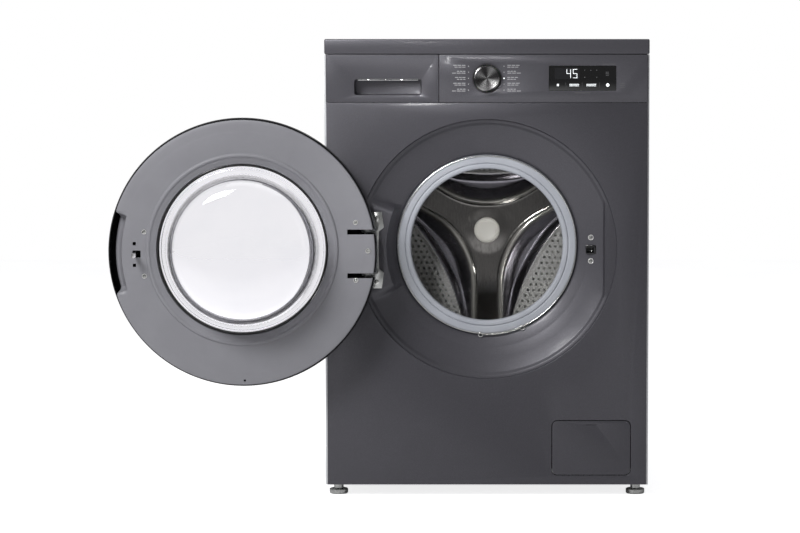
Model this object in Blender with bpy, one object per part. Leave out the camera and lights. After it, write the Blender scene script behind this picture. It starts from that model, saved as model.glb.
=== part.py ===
"""Front load washing machine, modelled at full size with its door swung fully open.

Every function works in the machine's own frame, in metres: x = 0 on the centre plane, +X to the right
as seen from the front, y = 0 on the face of the front panel, +Y towards the back, z = 0 on the floor.
One empty carries the whole machine, so that the world origin lies on the floor under the middle of
the bounding box, which the open door makes wider than the cabinet.
"""

import math

import bmesh
import bpy
from mathutils import Matrix, Vector

# ---------------------------------------------------------------- driving dimensions
WIDTH = 0.600
HEIGHT = 0.850
DEPTH = 0.560
GAP = 0.0003
SHEET = 0.0012
FRONT_WIDTH = 0.5932
BODY_BOTTOM = 0.021
BODY_TOP = 0.8215
STRIP_BOTTOM = 0.7333
FRONT_SPLIT_X = -0.0888

DOOR_Z = 0.461
DRUM_Z = 0.467
DOOR_RADIUS = 0.246
RECESS_RADIUS = 0.2415
RECESS_CHORD = 0.219
GASKET_RADIUS = 0.1682
DOOR_PIVOT = Vector((-0.223, -0.040, DOOR_Z))
DOOR_OPEN_ANGLE = math.pi
HINGE_ARM_OFFSET = 0.040
HINGE_ARM_HEIGHT = 0.006
HINGE_MIDDLE_Z = 0.4593
LATCH_X = 0.1935
LATCH_Z = 0.459

TUB_RADIUS = 0.270
TUB_WALL = 0.0035
DRUM_RADIUS = 0.245
LIFTER_ANGLES = (90, 210, 330)
SPRING_X = 0.235
DAMPER_X = 0.150
DAMPER_Y = 0.300

KNOB_Z = 0.7777
KNOB_RADIUS = 0.024
KNOB_WELL_RADIUS = 0.0273
FLAP_X = (0.1203, 0.2678)
FLAP_Z = (0.0387, 0.1423)
FLAP_AXIS = Vector((0.194, 0.0012, 0.0412))
FILTER_X = 0.194
FILTER_Z = 0.090
FOOT_X = 0.278
FOOT_Y = (0.035, 0.525)

BOWL_SHIFT = Vector((-0.009, 0, 0.004))
REAR_REACH = 0.575
DOOR_BOWL_DEPTH = 0.082
WORLD_X = (2 * -DOOR_PIVOT.x + DOOR_RADIUS - WIDTH / 2) / 2
WORLD_Y = ((DOOR_BOWL_DEPTH - 2 * DOOR_PIVOT.y) - REAR_REACH) / 2

ROUND = 40
MEDIUM = 24
SMALL = 16

# name: (parent, place of the joint's axis, turn about Z at rest)
BODIES = {
    "cabinet": (None, Vector((0, 0, 0)), 0),
    "tub": ("cabinet", Vector((0, 0.280, DRUM_Z)), 0),
    "drum": ("tub", Vector((0, 0.280, DRUM_Z)), 0),
    "door": ("cabinet", DOOR_PIVOT, -DOOR_OPEN_ANGLE),
    "door_hook": ("door", Vector((LATCH_X, -0.008, LATCH_Z)), 0),
    "drawer": ("cabinet", Vector((-0.193, 0.015, 0.777)), 0),
    "knob": ("cabinet", Vector((0, 0, KNOB_Z)), 0),
    "flap": ("cabinet", FLAP_AXIS, 0),
    "filter_cap": ("cabinet", Vector((FILTER_X, 0.020, FILTER_Z)), 0),
    "foot_front_left": ("cabinet", Vector((-FOOT_X, FOOT_Y[0], 0)), 0),
    "foot_front_right": ("cabinet", Vector((FOOT_X, FOOT_Y[0], 0)), 0),
    "foot_rear_left": ("cabinet", Vector((-FOOT_X, FOOT_Y[1], 0)), 0),
    "foot_rear_right": ("cabinet", Vector((FOOT_X, FOOT_Y[1], 0)), 0),
}

# name: (colour, metallic, roughness)
FINISHES = {
    "graphite paint": ((0.070, 0.069, 0.075), 0.6, 0.38),
    "silver paint": ((0.62, 0.62, 0.63), 0.7, 0.35),
    "dark plastic": ((0.055, 0.053, 0.056), 0.0, 0.45),
    "grey plastic": ((0.235, 0.235, 0.243), 0.0, 0.42),
    "black plastic": ((0.010, 0.010, 0.011), 0.0, 0.25),
    "white plastic": ((0.72, 0.72, 0.70), 0.0, 0.50),
    "grey rubber": ((0.31, 0.32, 0.34), 0.0, 0.60),
    "black rubber": ((0.012, 0.012, 0.012), 0.0, 0.70),
    "clear glass": ((0.95, 0.97, 0.97), 0.0, 0.03),
    "black glass": ((0.004, 0.004, 0.005), 0.0, 0.05),
    "stainless steel": ((0.60, 0.59, 0.58), 1.0, 0.28),
    "zinc steel": ((0.55, 0.55, 0.54), 1.0, 0.40),
    "chrome": ((0.80, 0.80, 0.81), 1.0, 0.08),
    "cast aluminium": ((0.50, 0.50, 0.51), 1.0, 0.50),
    "concrete": ((0.36, 0.35, 0.33), 0.0, 0.90),
    "circuit board": ((0.02, 0.10, 0.04), 0.0, 0.50),
    "copper windings": ((0.45, 0.20, 0.09), 0.8, 0.40),
}


# ---------------------------------------------------------------- helpers
def clear_scene():
    for obj in list(bpy.data.objects):
        bpy.data.objects.remove(obj, do_unlink=True)


def make_material(name, colour, metallic, roughness):
    material = bpy.data.materials.new(name)
    material.use_nodes = True
    shader = material.node_tree.nodes["Principled BSDF"]
    shader.inputs["Base Color"].default_value = (*colour, 1)
    shader.inputs["Metallic"].default_value = metallic
    shader.inputs["Roughness"].default_value = roughness
    return material


def make_bodies():
    """One empty for each body, placed on its joint's axis and nested as the joints are."""
    empties = {}
    for name, (parent, place, turn) in BODIES.items():
        empty = bpy.data.objects.new(name + "_axis", None)
        bpy.context.scene.collection.objects.link(empty)
        if parent is None:
            empty.location = (WORLD_X, WORLD_Y, 0)
        else:
            empty.parent = empties[parent]
            empty.location = place - BODIES[parent][1]
        empty.rotation_euler.z = turn
        empties[name] = empty
    return empties


def add(name, bm, body, finish, smooth_angle=35):
    """Turn a bmesh in the machine's frame into the named part on its body."""
    bmesh.ops.recalc_face_normals(bm, faces=bm.faces)
    mesh = bpy.data.meshes.new(name)
    bm.to_mesh(mesh)
    bm.free()
    mesh.shade_smooth()
    mesh.set_sharp_from_angle(angle=math.radians(smooth_angle))
    part = bpy.data.objects.new(name, mesh)
    bpy.context.scene.collection.objects.link(part)
    part.parent = EMPTIES[body]
    part.location = -BODIES[body][1]
    if finish:
        mesh.materials.append(MATERIALS[finish])
    return part


def helper(name, bm, body):
    """A shape that only cuts or joins another part."""
    part = add(name, bm, body, None)
    part.hide_render = True
    part.display_type = "WIRE"
    return part


def combine(part, other, operation):
    modifier = part.modifiers.new(operation.title(), "BOOLEAN")
    modifier.operation = operation
    modifier.object = other
    modifier.solver = "EXACT"


def cut(part, bm, body):
    combine(part, helper(part.name + "_cutter", bm, body), "DIFFERENCE")


def fuse(part, bm, body):
    combine(part, helper(part.name + "_joined", bm, body), "UNION")


def thicken(part, thickness):
    """Give an open sheet a wall behind its outer face."""
    modifier = part.modifiers.new("Wall", "SOLIDIFY")
    modifier.thickness = thickness
    modifier.offset = -1
    modifier.use_even_offset = True


def box(low, high):
    bm = bmesh.new()
    size = Vector(high) - Vector(low)
    middle = (Vector(high) + Vector(low)) / 2
    bmesh.ops.create_cube(bm, size=1, matrix=Matrix.Translation(middle) @ Matrix.Diagonal((*size, 1)))
    return bm


def open_box(low, high, wall, opening):
    """A tray: a box with its face towards `opening` removed and its walls drawn inwards."""
    bm = box(low, high)
    axis = max(range(3), key=lambda i: abs(opening[i]))
    mouth = max(bm.faces, key=lambda face: face.calc_center_median().dot(Vector(opening)))
    bmesh.ops.inset_individual(bm, faces=[mouth], thickness=wall)
    floor = bmesh.ops.extrude_discrete_faces(bm, faces=[mouth])["faces"][0]
    depth = high[axis] - low[axis] - wall
    bmesh.ops.translate(bm, verts=floor.verts, vec=-Vector(opening) * depth)
    return bm


def prism(outline, along, start, end):
    """Extrude a closed outline of 2D points along 'X', 'Y' or 'Z', from start to end."""
    place = {
        "X": lambda a, b, t: (t, a, b),
        "Y": lambda a, b, t: (a, t, b),
        "Z": lambda a, b, t: (a, b, t),
    }[along]
    bm = bmesh.new()
    face = bm.faces.new([bm.verts.new(place(a, b, start)) for a, b in outline])
    made = bmesh.ops.extrude_face_region(bm, geom=[face])["geom"]
    moved = [item for item in made if isinstance(item, bmesh.types.BMVert)]
    bmesh.ops.translate(bm, verts=moved, vec=Vector(place(0, 0, end - start)))
    return bm


def rod(centre, radius, along, start, end, steps=SMALL):
    outline = [
        (centre[0] + radius * math.cos(turn), centre[1] + radius * math.sin(turn))
        for turn in angles(steps)
    ]
    return prism(outline, along, start, end)


def angles(steps):
    return [2 * math.pi * step / steps for step in range(steps)]


def turned(profile, centre, along, steps):
    """Spin a closed profile of (radius, height) points about 'Y' or 'Z' through the centre."""
    if along == "Y":
        axis = Vector((0, 1, 0))
        points = [Vector((centre[0] + r, h, centre[1])) for r, h in profile]
        middle = Vector((centre[0], 0, centre[1]))
    else:
        axis = Vector((0, 0, 1))
        points = [Vector((centre[0] + r, centre[1], h)) for r, h in profile]
        middle = Vector((centre[0], centre[1], 0))
    bm = bmesh.new()
    verts = [bm.verts.new(point) for point in points]
    edges = [
        bm.edges.new((a, b))
        for a, b, (ra, _), (rb, _) in zip(verts, verts[1:] + verts[:1], profile, profile[1:] + profile[:1])
        if ra > 0 or rb > 0
    ]
    bmesh.ops.spin(
        bm, geom=verts + edges, cent=middle, axis=axis, angle=2 * math.pi, steps=steps, use_merge=True
    )
    bmesh.ops.remove_doubles(bm, verts=bm.verts, dist=1e-6)
    return bm


def ring_points(centre, radius, y, steps):
    """Points round the Y direction; radius is a number or a function of the angle."""
    reach = radius if callable(radius) else (lambda turn: radius)
    height = y if callable(y) else (lambda turn: y)
    return [
        Vector((centre[0] + reach(t) * math.cos(t), height(t), centre[1] + reach(t) * math.sin(t)))
        for t in angles(steps)
    ]


def skin(rings, closed=True, bm=None, first=None):
    """Join rings of equally many points with quads, back to the first ring when closed."""
    bm = bm or bmesh.new()
    loops = [[bm.verts.new(point) for point in ring] for ring in rings]
    if first:
        loops = [first] + loops
    pairs = list(zip(loops, loops[1:] + loops[:1])) if closed else list(zip(loops, loops[1:]))
    for here, there in pairs:
        for k in range(len(here)):
            n = (k + 1) % len(here)
            bm.faces.new((here[k], here[n], there[n], there[k]))
    return bm


def rounded_rectangle(low, high, radius, corner_steps=3):
    corners = (
        (high[0] - radius, high[1] - radius, 0),
        (low[0] + radius, high[1] - radius, 90),
        (low[0] + radius, low[1] + radius, 180),
        (high[0] - radius, low[1] + radius, 270),
    )
    points = []
    for x, z, start in corners:
        for step in range(corner_steps + 1):
            turn = math.radians(start + 90 * step / corner_steps)
            points.append((x + radius * math.cos(turn), z + radius * math.sin(turn)))
    return points


def pressed_sheet(low, high, holes, hem):
    """A flat front at y = 0 with hemmed outer edges and open holes; returns each hole's points too."""
    bm = bmesh.new()
    edges = []
    loops = []
    for outline in [rounded_rectangle(low, high, 0.002, 2)] + holes:
        verts = [bm.verts.new((x, 0, z)) for x, z in outline]
        edges += [bm.edges.new((a, b)) for a, b in zip(verts, verts[1:] + verts[:1])]
        loops.append(verts)
    bmesh.ops.triangle_fill(bm, use_beauty=True, edges=edges, normal=Vector((0, -1, 0)))
    outer = loops.pop(0)
    skin([[vert.co + Vector((0, hem, 0)) for vert in outer]], closed=False, bm=bm, first=outer)
    return bm, loops


def hose(name, points, radius, body, finish, sides_level=2, closed=False):
    """A round tube through the points, as a curve with a bevel and filled caps."""
    curve = bpy.data.curves.new(name, "CURVE")
    curve.dimensions = "3D"
    spline = curve.splines.new("POLY")
    spline.points.add(len(points) - 1)
    for target, point in zip(spline.points, points):
        target.co = (*point, 1)
    spline.use_cyclic_u = closed
    curve.bevel_depth = radius
    curve.bevel_resolution = sides_level
    curve.use_fill_caps = not closed
    curve.materials.append(MATERIALS[finish])
    part = bpy.data.objects.new(name, curve)
    bpy.context.scene.collection.objects.link(part)
    part.parent = EMPTIES[body]
    part.location = -BODIES[body][1]
    return part


def smooth_route(knots, steps):
    """Points on a Catmull-Rom curve through the knots."""
    knots = [Vector(knot) for knot in knots]
    padded = [2 * knots[0] - knots[1]] + knots + [2 * knots[-1] - knots[-2]]
    points = []
    for a, b, c, d in zip(padded, padded[1:], padded[2:], padded[3:]):
        for step in range(steps):
            t = step / steps
            points.append(
                0.5 * (2 * b + (c - a) * t + (2 * a - 5 * b + 4 * c - d) * t**2 + (3 * b - a - 3 * c + d) * t**3)
            )
    return points + [knots[-1]]


# ---------------------------------------------------------------- cabinet
def cabinet_shell():
    half = WIDTH / 2
    front = 0.003
    back = DEPTH - 0.0025
    flange = 0.016
    outline = [
        (-half, front), (-half, back), (half, back), (half, front), (half - flange, front),
        (half - flange, front + SHEET), (half - SHEET, front + SHEET), (half - SHEET, back - SHEET),
        (SHEET - half, back - SHEET), (SHEET - half, front + SHEET), (flange - half, front + SHEET),
        (flange - half, front),
    ]
    shell = add("cabinet_shell", prism(outline, "Z", BODY_BOTTOM, BODY_TOP), "cabinet", "silver paint")
    cut(shell, box((-0.190, back - 0.01, 0.200), (0.190, back + 0.01, 0.700)), "cabinet")
    for x, z, radius in ((-0.220, 0.785, 0.0145), (0.220, 0.120, 0.0135), (0.245, 0.700, 0.0105)):
        cut(shell, rod((x, z), radius, "Y", back - 0.01, back + 0.01), "cabinet")
    for side in (-1, 1):
        inner = sorted((side * (SPRING_X - 0.02), side * (half - SHEET / 2)))
        fuse(shell, box((inner[0], 0.320, 0.776), (inner[1], 0.360, 0.7785)), "cabinet")
        clear = sorted((side * (half - flange - 0.001), side * (FRONT_WIDTH / 2 + GAP)))
        cut(shell, box((clear[0], 0, STRIP_BOTTOM - GAP), (clear[1], 0.006, BODY_TOP + 0.01)), "cabinet")


def base_pan():
    low = (-0.2975, 0.006, BODY_BOTTOM + 0.0002)
    high = (0.2975, DEPTH - 0.0045, 0.050)
    pan = add("base_pan", open_box(low, high, 0.0015, (0, 0, 1)), "cabinet", "zinc steel")
    for x in (-FOOT_X, FOOT_X):
        for y in FOOT_Y:
            cut(pan, rod((x, y), 0.0055, "Z", 0.010, 0.040, 16), "cabinet")


def rear_panel():
    y = DEPTH - 0.0025 + GAP
    low, high = (-0.205, y, 0.185), (0.205, DEPTH + 0.006, 0.715)
    add("rear_panel", open_box(low, high, SHEET, (0, -1, 0)), "cabinet", "silver paint")


def worktop():
    half = WIDTH / 2
    rail = 0.030
    ledge = 0.014
    low = BODY_TOP + 0.0005
    frame = add("worktop_frame", box((-half, 0, low), (half, DEPTH, HEIGHT)), "cabinet", "graphite paint")
    upper = box((rail - half, rail, 0.8342), (half - rail, DEPTH - rail, HEIGHT + 0.01))
    cut(frame, upper, "cabinet")
    inner = rail + ledge
    cut(frame, box((inner - half, inner, low - 0.01), (half - inner, DEPTH - inner, 0.840)), "cabinet")
    edge = rail + GAP
    board = box((edge - half, edge, 0.8345), (half - edge, DEPTH - edge, HEIGHT))
    add("worktop_board", board, "cabinet", "graphite paint")


def dish_depth(radius):
    """How far the recess's cone lies behind the panel's face at this radius."""
    return 0.013 + 0.38 * (0.230 - radius)


def chord_limit(radius):
    """The recess is round, with a straight side towards the lock."""
    return lambda turn: min(radius, RECESS_CHORD / max(math.cos(turn), 0.1))


def on_hinge_pad(turn):
    return abs(turn - math.pi) < math.radians(22)


def front_panel():
    half = FRONT_WIDTH / 2
    rim = [(p.x, p.z) for p in ring_points((0, DOOR_Z), RECESS_RADIUS, 0, ROUND)]
    flap_hole = rounded_rectangle((FLAP_X[0], FLAP_Z[0]), (FLAP_X[1], FLAP_Z[1]), 0.011)
    bm, loops = pressed_sheet(
        (-half, BODY_BOTTOM + 0.0005), (half, STRIP_BOTTOM - 0.0006), [rim, flap_hole], 0.0026
    )
    ledge = chord_limit(0.2345)
    pad_depth = 0.009
    foot = lambda turn: ledge(turn) - 0.004
    levels = [
        (DOOR_Z, 0.2402, 0.0055),
        (DOOR_Z, ledge, 0.0070),
        (DOOR_Z, foot, lambda t: pad_depth if on_hinge_pad(t) else dish_depth(foot(t))),
        (DOOR_Z + 0.002, 0.189, lambda t: pad_depth if on_hinge_pad(t) else dish_depth(0.189)),
        (DRUM_Z, 0.1725, 0.0345),
        (DRUM_Z, GASKET_RADIUS + GAP, 0.038),
        (DRUM_Z, GASKET_RADIUS + GAP, 0.052),
    ]
    rings = [ring_points((0, z), radius, y, ROUND) for z, radius, y in levels]
    skin(rings, closed=False, bm=bm, first=loops[0])
    panel = add("front_panel", bm, "cabinet", "graphite paint")
    thicken(panel, SHEET)
    cut(panel, box((0.184, 0.010, 0.4505), (0.203, 0.045, 0.4675)), "cabinet")


def control_fascia():
    low = (FRONT_SPLIT_X + 0.0004, 0, STRIP_BOTTOM)
    high = (FRONT_WIDTH / 2, 0.030, BODY_TOP - 0.0001)
    fascia = add("control_fascia", open_box(low, high, 0.0025, (0, 1, 0)), "cabinet", "graphite paint")
    cut(fascia, rod((0, KNOB_Z), KNOB_WELL_RADIUS, "Y", -0.01, 0.01, MEDIUM), "cabinet")
    cut(fascia, box((0.1144, -0.01, 0.7550), (0.2387, 0.01, 0.8010)), "cabinet")
    window = box((0.1144 + GAP, 0.0006, 0.7550 + GAP), (0.2387 - GAP, 0.0050, 0.8010 - GAP))
    add("display_window", window, "cabinet", "black glass")


def control_board():
    board = add("control_board", box((-0.045, 0.0085, 0.741), (0.262, 0.0105, 0.812)), "cabinet", "circuit board")
    fuse(board, box((-0.008, 0.0045, KNOB_Z - 0.008), (0.008, 0.009, KNOB_Z + 0.008)), "cabinet")
    fuse(board, box((0.090, 0.010, 0.745), (0.255, 0.024, 0.808)), "cabinet")


def programme_knob():
    profile = [
        (0, -0.0135), (KNOB_RADIUS - 0.001, -0.0135), (KNOB_RADIUS, -0.0125), (KNOB_RADIUS, 0.0015),
        (0.003, 0.0015), (0.003, 0.0042), (0, 0.0042),
    ]
    add("programme_knob", turned(profile, (0, KNOB_Z), "Y", MEDIUM), "knob", "stainless steel")


def dispenser():
    low, high = (-0.2945, 0.028, 0.7375), (-0.0915, 0.310, 0.8185)
    housing = add("dispenser_housing", open_box(low, high, 0.002, (0, -1, 0)), "cabinet", "white plastic")
    cut(housing, rod((-0.130, 0.275), 0.014, "Z", 0.730, 0.745), "cabinet")
    hose_profile = [(0.0145, 0.7128), (0.0180, 0.7128), (0.0180, 0.7371), (0.0145, 0.7371)]
    add("dispenser_hose", turned(hose_profile, (-0.130, 0.275), "Z", SMALL), "cabinet", "black rubber")
    valve = add("inlet_valve", box((-0.250, 0.500, 0.760), (-0.190, 0.545, 0.810)), "cabinet", "white plastic")
    fuse(valve, rod((-0.220, 0.785), 0.0132, "Y", 0.540, REAR_REACH), "cabinet")


def detergent_drawer():
    low, high = (-0.2963, 0, STRIP_BOTTOM), (FRONT_SPLIT_X - 0.0004, 0, BODY_TOP - 0.0001)
    pocket = rounded_rectangle((-0.245, 0.7462), (-0.120, 0.7768), 0.006)
    bm, loops = pressed_sheet((low[0], low[2]), (high[0], high[2]), [pocket], 0.012)
    inner = rounded_rectangle((-0.242, 0.7486), (-0.123, 0.7790), 0.006)
    rings = [[Vector((x, 0.003, z)) for x, z in pocket], [Vector((x, 0.022, z)) for x, z in inner]]
    skin(rings, closed=False, bm=bm, first=loops[0])
    bm.faces.new([vert for vert in bm.verts if abs(vert.co.y - 0.022) < 1e-6])
    front = add("drawer_front", bm, "drawer", "graphite paint")
    thicken(front, 0.0022)
    tray = add("detergent_drawer", box((-0.2900, 0.030, 0.7410), (-0.0960, 0.292, 0.7900)), "drawer", "white plastic")
    wall = 0.002
    for x_low, x_high, y_low, y_high in (
        (-0.2880, -0.2000, 0.032, 0.290), (-0.1980, -0.0980, 0.032, 0.150), (-0.1980, -0.0980, 0.152, 0.290),
    ):
        cut(tray, box((x_low, y_low, 0.7410 + wall), (x_high, y_high, 0.800)), "drawer")
    trim = box((-0.238, 0.0035, 0.7735), (-0.127, 0.0130, 0.7755))
    add("drawer_trim", trim, "drawer", "chrome")


# ---------------------------------------------------------------- hinge, lock and gasket
def hinge_bracket():
    half_outline = [(-0.217, 0.042), (-0.213, 0.071), (-0.195, 0.071), (-0.191, 0.042), (-0.200, 0.035),
                    (-0.201, 0.012)]
    lower = [(x, -z) for x, z in reversed(half_outline)]
    spine = [(-0.209, -0.012), (-0.209, 0.012)]
    outline = [(x, HINGE_MIDDLE_Z + z) for x, z in half_outline + lower + spine]
    bracket = add("hinge_bracket", prism(outline, "Y", 0.0050, 0.0087), "cabinet", "zinc steel")
    eye_radius = 0.0085
    eye = [
        (DOOR_PIVOT.x + eye_radius * math.cos(math.radians(turn)),
         DOOR_PIVOT.y + eye_radius * math.sin(math.radians(turn)))
        for turn in range(140, 381, 30)
    ]
    arm = eye + [(-0.2050, -0.012), (-0.2010, 0.0075), (-0.2090, 0.0075), (-0.2140, -0.012)]
    for side in (-1, 1):
        z = HINGE_MIDDLE_Z + side * HINGE_ARM_OFFSET - HINGE_ARM_HEIGHT / 2
        fuse(bracket, prism(arm, "Z", z, z + HINGE_ARM_HEIGHT), "cabinet")
    reach = HINGE_ARM_OFFSET + HINGE_ARM_HEIGHT
    bore = rod(DOOR_PIVOT.xy, 0.0033, "Z", HINGE_MIDDLE_Z - reach, HINGE_MIDDLE_Z + reach, 16)
    cut(bracket, bore, "cabinet")


def door_lock():
    lock = add("door_lock", box((0.1795, 0.0345, 0.4300), (0.2075, 0.060, 0.4880)), "cabinet", "black plastic")
    fuse(lock, box((0.1845, 0.0230, 0.4510), (0.2025, 0.040, 0.4670)), "cabinet")
    cut(lock, box((0.1853, 0.0100, 0.4530), (0.1985, 0.054, 0.4650)), "cabinet")


def gasket():
    """A rubber boot: front lip in the panel's flange, one fold, and a sleeve over the tub's neck."""
    lip = GASKET_RADIUS
    profile = [
        (lip, 0.0375), (lip, 0.0510), (0.1645, 0.0510), (0.1620, 0.0430), (0.1500, 0.0430),
        (0.1470, 0.0520), (0.1590, 0.0660), (0.1590, 0.0974), (0.1554, 0.0974), (0.1554, 0.0680),
        (0.1430, 0.0540), (0.1415, 0.0450), (0.1425, 0.0370), (0.1500, 0.0355), (0.1640, 0.0350),
    ]
    add("gasket", turned(profile, (0, DRUM_Z), "Y", ROUND), "cabinet", "grey rubber")
    wire = 0.0011
    points = ring_points((0, DRUM_Z), 0.1660, 0.0336, 30)
    hose("gasket_clamp", points, wire, "cabinet", "zinc steel", 1, closed=True)


# ---------------------------------------------------------------- tub and what hangs on it
def tub():
    neck_profile = [
        (TUB_RADIUS, 0.0980), (TUB_RADIUS, 0.2517), (TUB_RADIUS - TUB_WALL, 0.2517),
        (TUB_RADIUS - TUB_WALL, 0.1015), (0.1520, 0.1015), (0.1520, 0.0880), (0.1551, 0.0880),
        (0.1551, 0.0980),
    ]
    add("tub_front", turned(neck_profile, (0, DRUM_Z), "Y", ROUND), "tub", "white plastic")
    back = 0.4660
    hub = 0.0400
    profile = [
        (TUB_RADIUS, 0.2520), (TUB_RADIUS, back), (hub, back), (hub, 0.4940), (0.0263, 0.4940),
        (0.0263, 0.4775), (0.0200, 0.4775), (0.0200, 0.4705), (0.0313, 0.4705), (0.0313, 0.4545),
        (hub, 0.4545), (hub, back - TUB_WALL), (TUB_RADIUS - TUB_WALL, back - TUB_WALL),
        (TUB_RADIUS - TUB_WALL, 0.2520),
    ]
    rear = add("tub_rear", turned(profile, (0, DRUM_Z), "Y", ROUND), "tub", "white plastic")
    for side in (-1, 1):
        lug = sorted((side * (SPRING_X - 0.020), side * (SPRING_X + 0.016)))
        fuse(rear, box((lug[0], 0.326, 0.6100), (lug[1], 0.354, 0.6450)), "tub")
        foot = sorted((side * (DAMPER_X - 0.014), side * (DAMPER_X + 0.014)))
        fuse(rear, box((foot[0], DAMPER_Y - 0.014, 0.2300), (foot[1], DAMPER_Y + 0.014, 0.2560)), "tub")
    fuse(rear, rod((-0.130, 0.275), 0.0140, "Z", 0.695, 0.7122), "tub")


def counterweight(name, start, end):
    inner, outer = 0.1780, 0.2600
    steps = 14
    turns = [math.radians(start + (end - start) * step / steps) for step in range(steps + 1)]
    arc = [(outer * math.cos(turn), DRUM_Z + outer * math.sin(turn)) for turn in turns]
    back = [(inner * math.cos(turn), DRUM_Z + inner * math.sin(turn)) for turn in reversed(turns)]
    add(name, prism(arc + back, "Y", 0.0600, 0.0977), "tub", "concrete")


def drive():
    hub = [(0.0620, 0.4664), (0.1180, 0.4664), (0.1180, 0.4970), (0.0620, 0.4970)]
    add("stator", turned(hub, (0, DRUM_Z), "Y", MEDIUM), "tub", "copper windings")
    cup = [
        (0.1350, 0.4720), (0.1350, 0.5080), (0.0126, 0.5080), (0.0126, 0.5050), (0.1320, 0.5050),
        (0.1320, 0.4720),
    ]
    add("rotor", turned(cup, (0, DRUM_Z), "Y", MEDIUM), "drum", "zinc steel")
    nut = [(0.0126, 0.5083), (0.0190, 0.5083), (0.0190, 0.5190), (0.0126, 0.5190)]
    add("rotor_nut", turned(nut, (0, DRUM_Z), "Y", 6), "drum", "zinc steel")
    shaft = [(0, 0.4250), (0.0150, 0.4250), (0.0150, 0.4740), (0.0106, 0.4740), (0.0106, 0.5230), (0, 0.5230)]
    add("drum_shaft", turned(shaft, (0, DRUM_Z), "Y", SMALL), "drum", "zinc steel")
    front = [(0.0154, 0.4548), (0.0309, 0.4548), (0.0309, 0.4702), (0.0154, 0.4702)]
    add("front_bearing", turned(front, (0, DRUM_Z), "Y", 24), "tub", "zinc steel")
    rear = [(0.0110, 0.4778), (0.0259, 0.4778), (0.0259, 0.4935), (0.0110, 0.4935)]
    add("rear_bearing", turned(rear, (0, DRUM_Z), "Y", 24), "tub", "zinc steel")


def drum():
    wall = SHEET
    mouth = 0.1505
    profile = [
        (mouth, 0.1080), (DRUM_RADIUS, 0.1080), (DRUM_RADIUS, 0.4195), (DRUM_RADIUS - wall, 0.4195),
        (DRUM_RADIUS - wall, 0.1080 + wall), (mouth + wall, 0.1080 + wall), (mouth + wall, 0.1180),
        (mouth, 0.1180),
    ]
    add("drum_shell", turned(profile, (0, DRUM_Z), "Y", ROUND), "drum", "stainless steel")
    back = [(0, 0.4198), (DRUM_RADIUS, 0.4198), (DRUM_RADIUS, 0.4213), (0, 0.4213)]
    add("drum_back", turned(back, (0, DRUM_Z), "Y", ROUND), "drum", "stainless steel")
    cap = [(0, 0.4080), (0.0240, 0.4080), (0.0260, 0.4095), (0.0260, 0.4195), (0, 0.4195)]
    add("hub_cap", turned(cap, (0, DRUM_Z), "Y", 32), "drum", "grey plastic")
    hub = [(0.0153, 0.4216), (0.0350, 0.4216), (0.0350, 0.4520), (0.0153, 0.4520)]
    spider = add("spider", turned(hub, (0, DRUM_Z), "Y", 24), "drum", "cast aluminium")
    for turn in (30, 150, 270):
        arm = [(0.025, -0.016), (0.228, -0.010), (0.228, 0.010), (0.025, 0.016)]
        c, s = math.cos(math.radians(turn)), math.sin(math.radians(turn))
        outline = [(a * c - b * s, DRUM_Z + a * s + b * c) for a, b in arm]
        fuse(spider, prism(outline, "Y", 0.4218, 0.4360), "drum")
    for number, turn in enumerate(LIFTER_ANGLES, 1):
        shape = [(0.2415, -0.024), (0.2415, 0.024), (0.200, 0.013), (0.190, 0.006), (0.190, -0.006),
                 (0.200, -0.013)]
        c, s = math.cos(math.radians(turn)), math.sin(math.radians(turn))
        outline = [(a * c - b * s, DRUM_Z + a * s + b * c) for a, b in shape]
        add(f"lifter_{number}", prism(outline, "Y", 0.1300, 0.4050), "drum", "grey plastic")


def heater():
    z = DRUM_Z - 0.2555
    half = 0.022
    bend = [
        (half * math.cos(turn), 0.370 + half * math.sin(turn), z)
        for turn in (math.pi * step / 6 for step in range(7))
    ]
    hose("heater", [(half, 0.1025, z)] + bend + [(-half, 0.1025, z)], 0.0040, "tub", "zinc steel", 2)


def suspension():
    for side, word in ((-1, "left"), (1, "right")):
        turns, steps = 5, 8
        low, high = 0.6485, 0.7725
        points = []
        for step in range(turns * steps + 1):
            turn = 2 * math.pi * step / steps
            z = low + (high - low) * step / (turns * steps)
            points.append((side * SPRING_X + 0.012 * math.cos(turn), 0.340 + 0.012 * math.sin(turn), z))
        hose(f"spring_{word}", points, 0.0022, "cabinet", "zinc steel", 1)
        centre = (side * DAMPER_X, DAMPER_Y)
        tube = [
            (0, 0.0235), (0.0170, 0.0235), (0.0170, 0.1850), (0.0126, 0.1850), (0.0126, 0.0280), (0, 0.0280),
        ]
        add(f"damper_cylinder_{word}", turned(tube, centre, "Z", SMALL), "cabinet", "zinc steel")
        plunger = rod(centre, 0.0118, "Z", 0.0950, 0.2297, SMALL)
        add(f"damper_rod_{word}", plunger, "tub", "black plastic")


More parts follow.
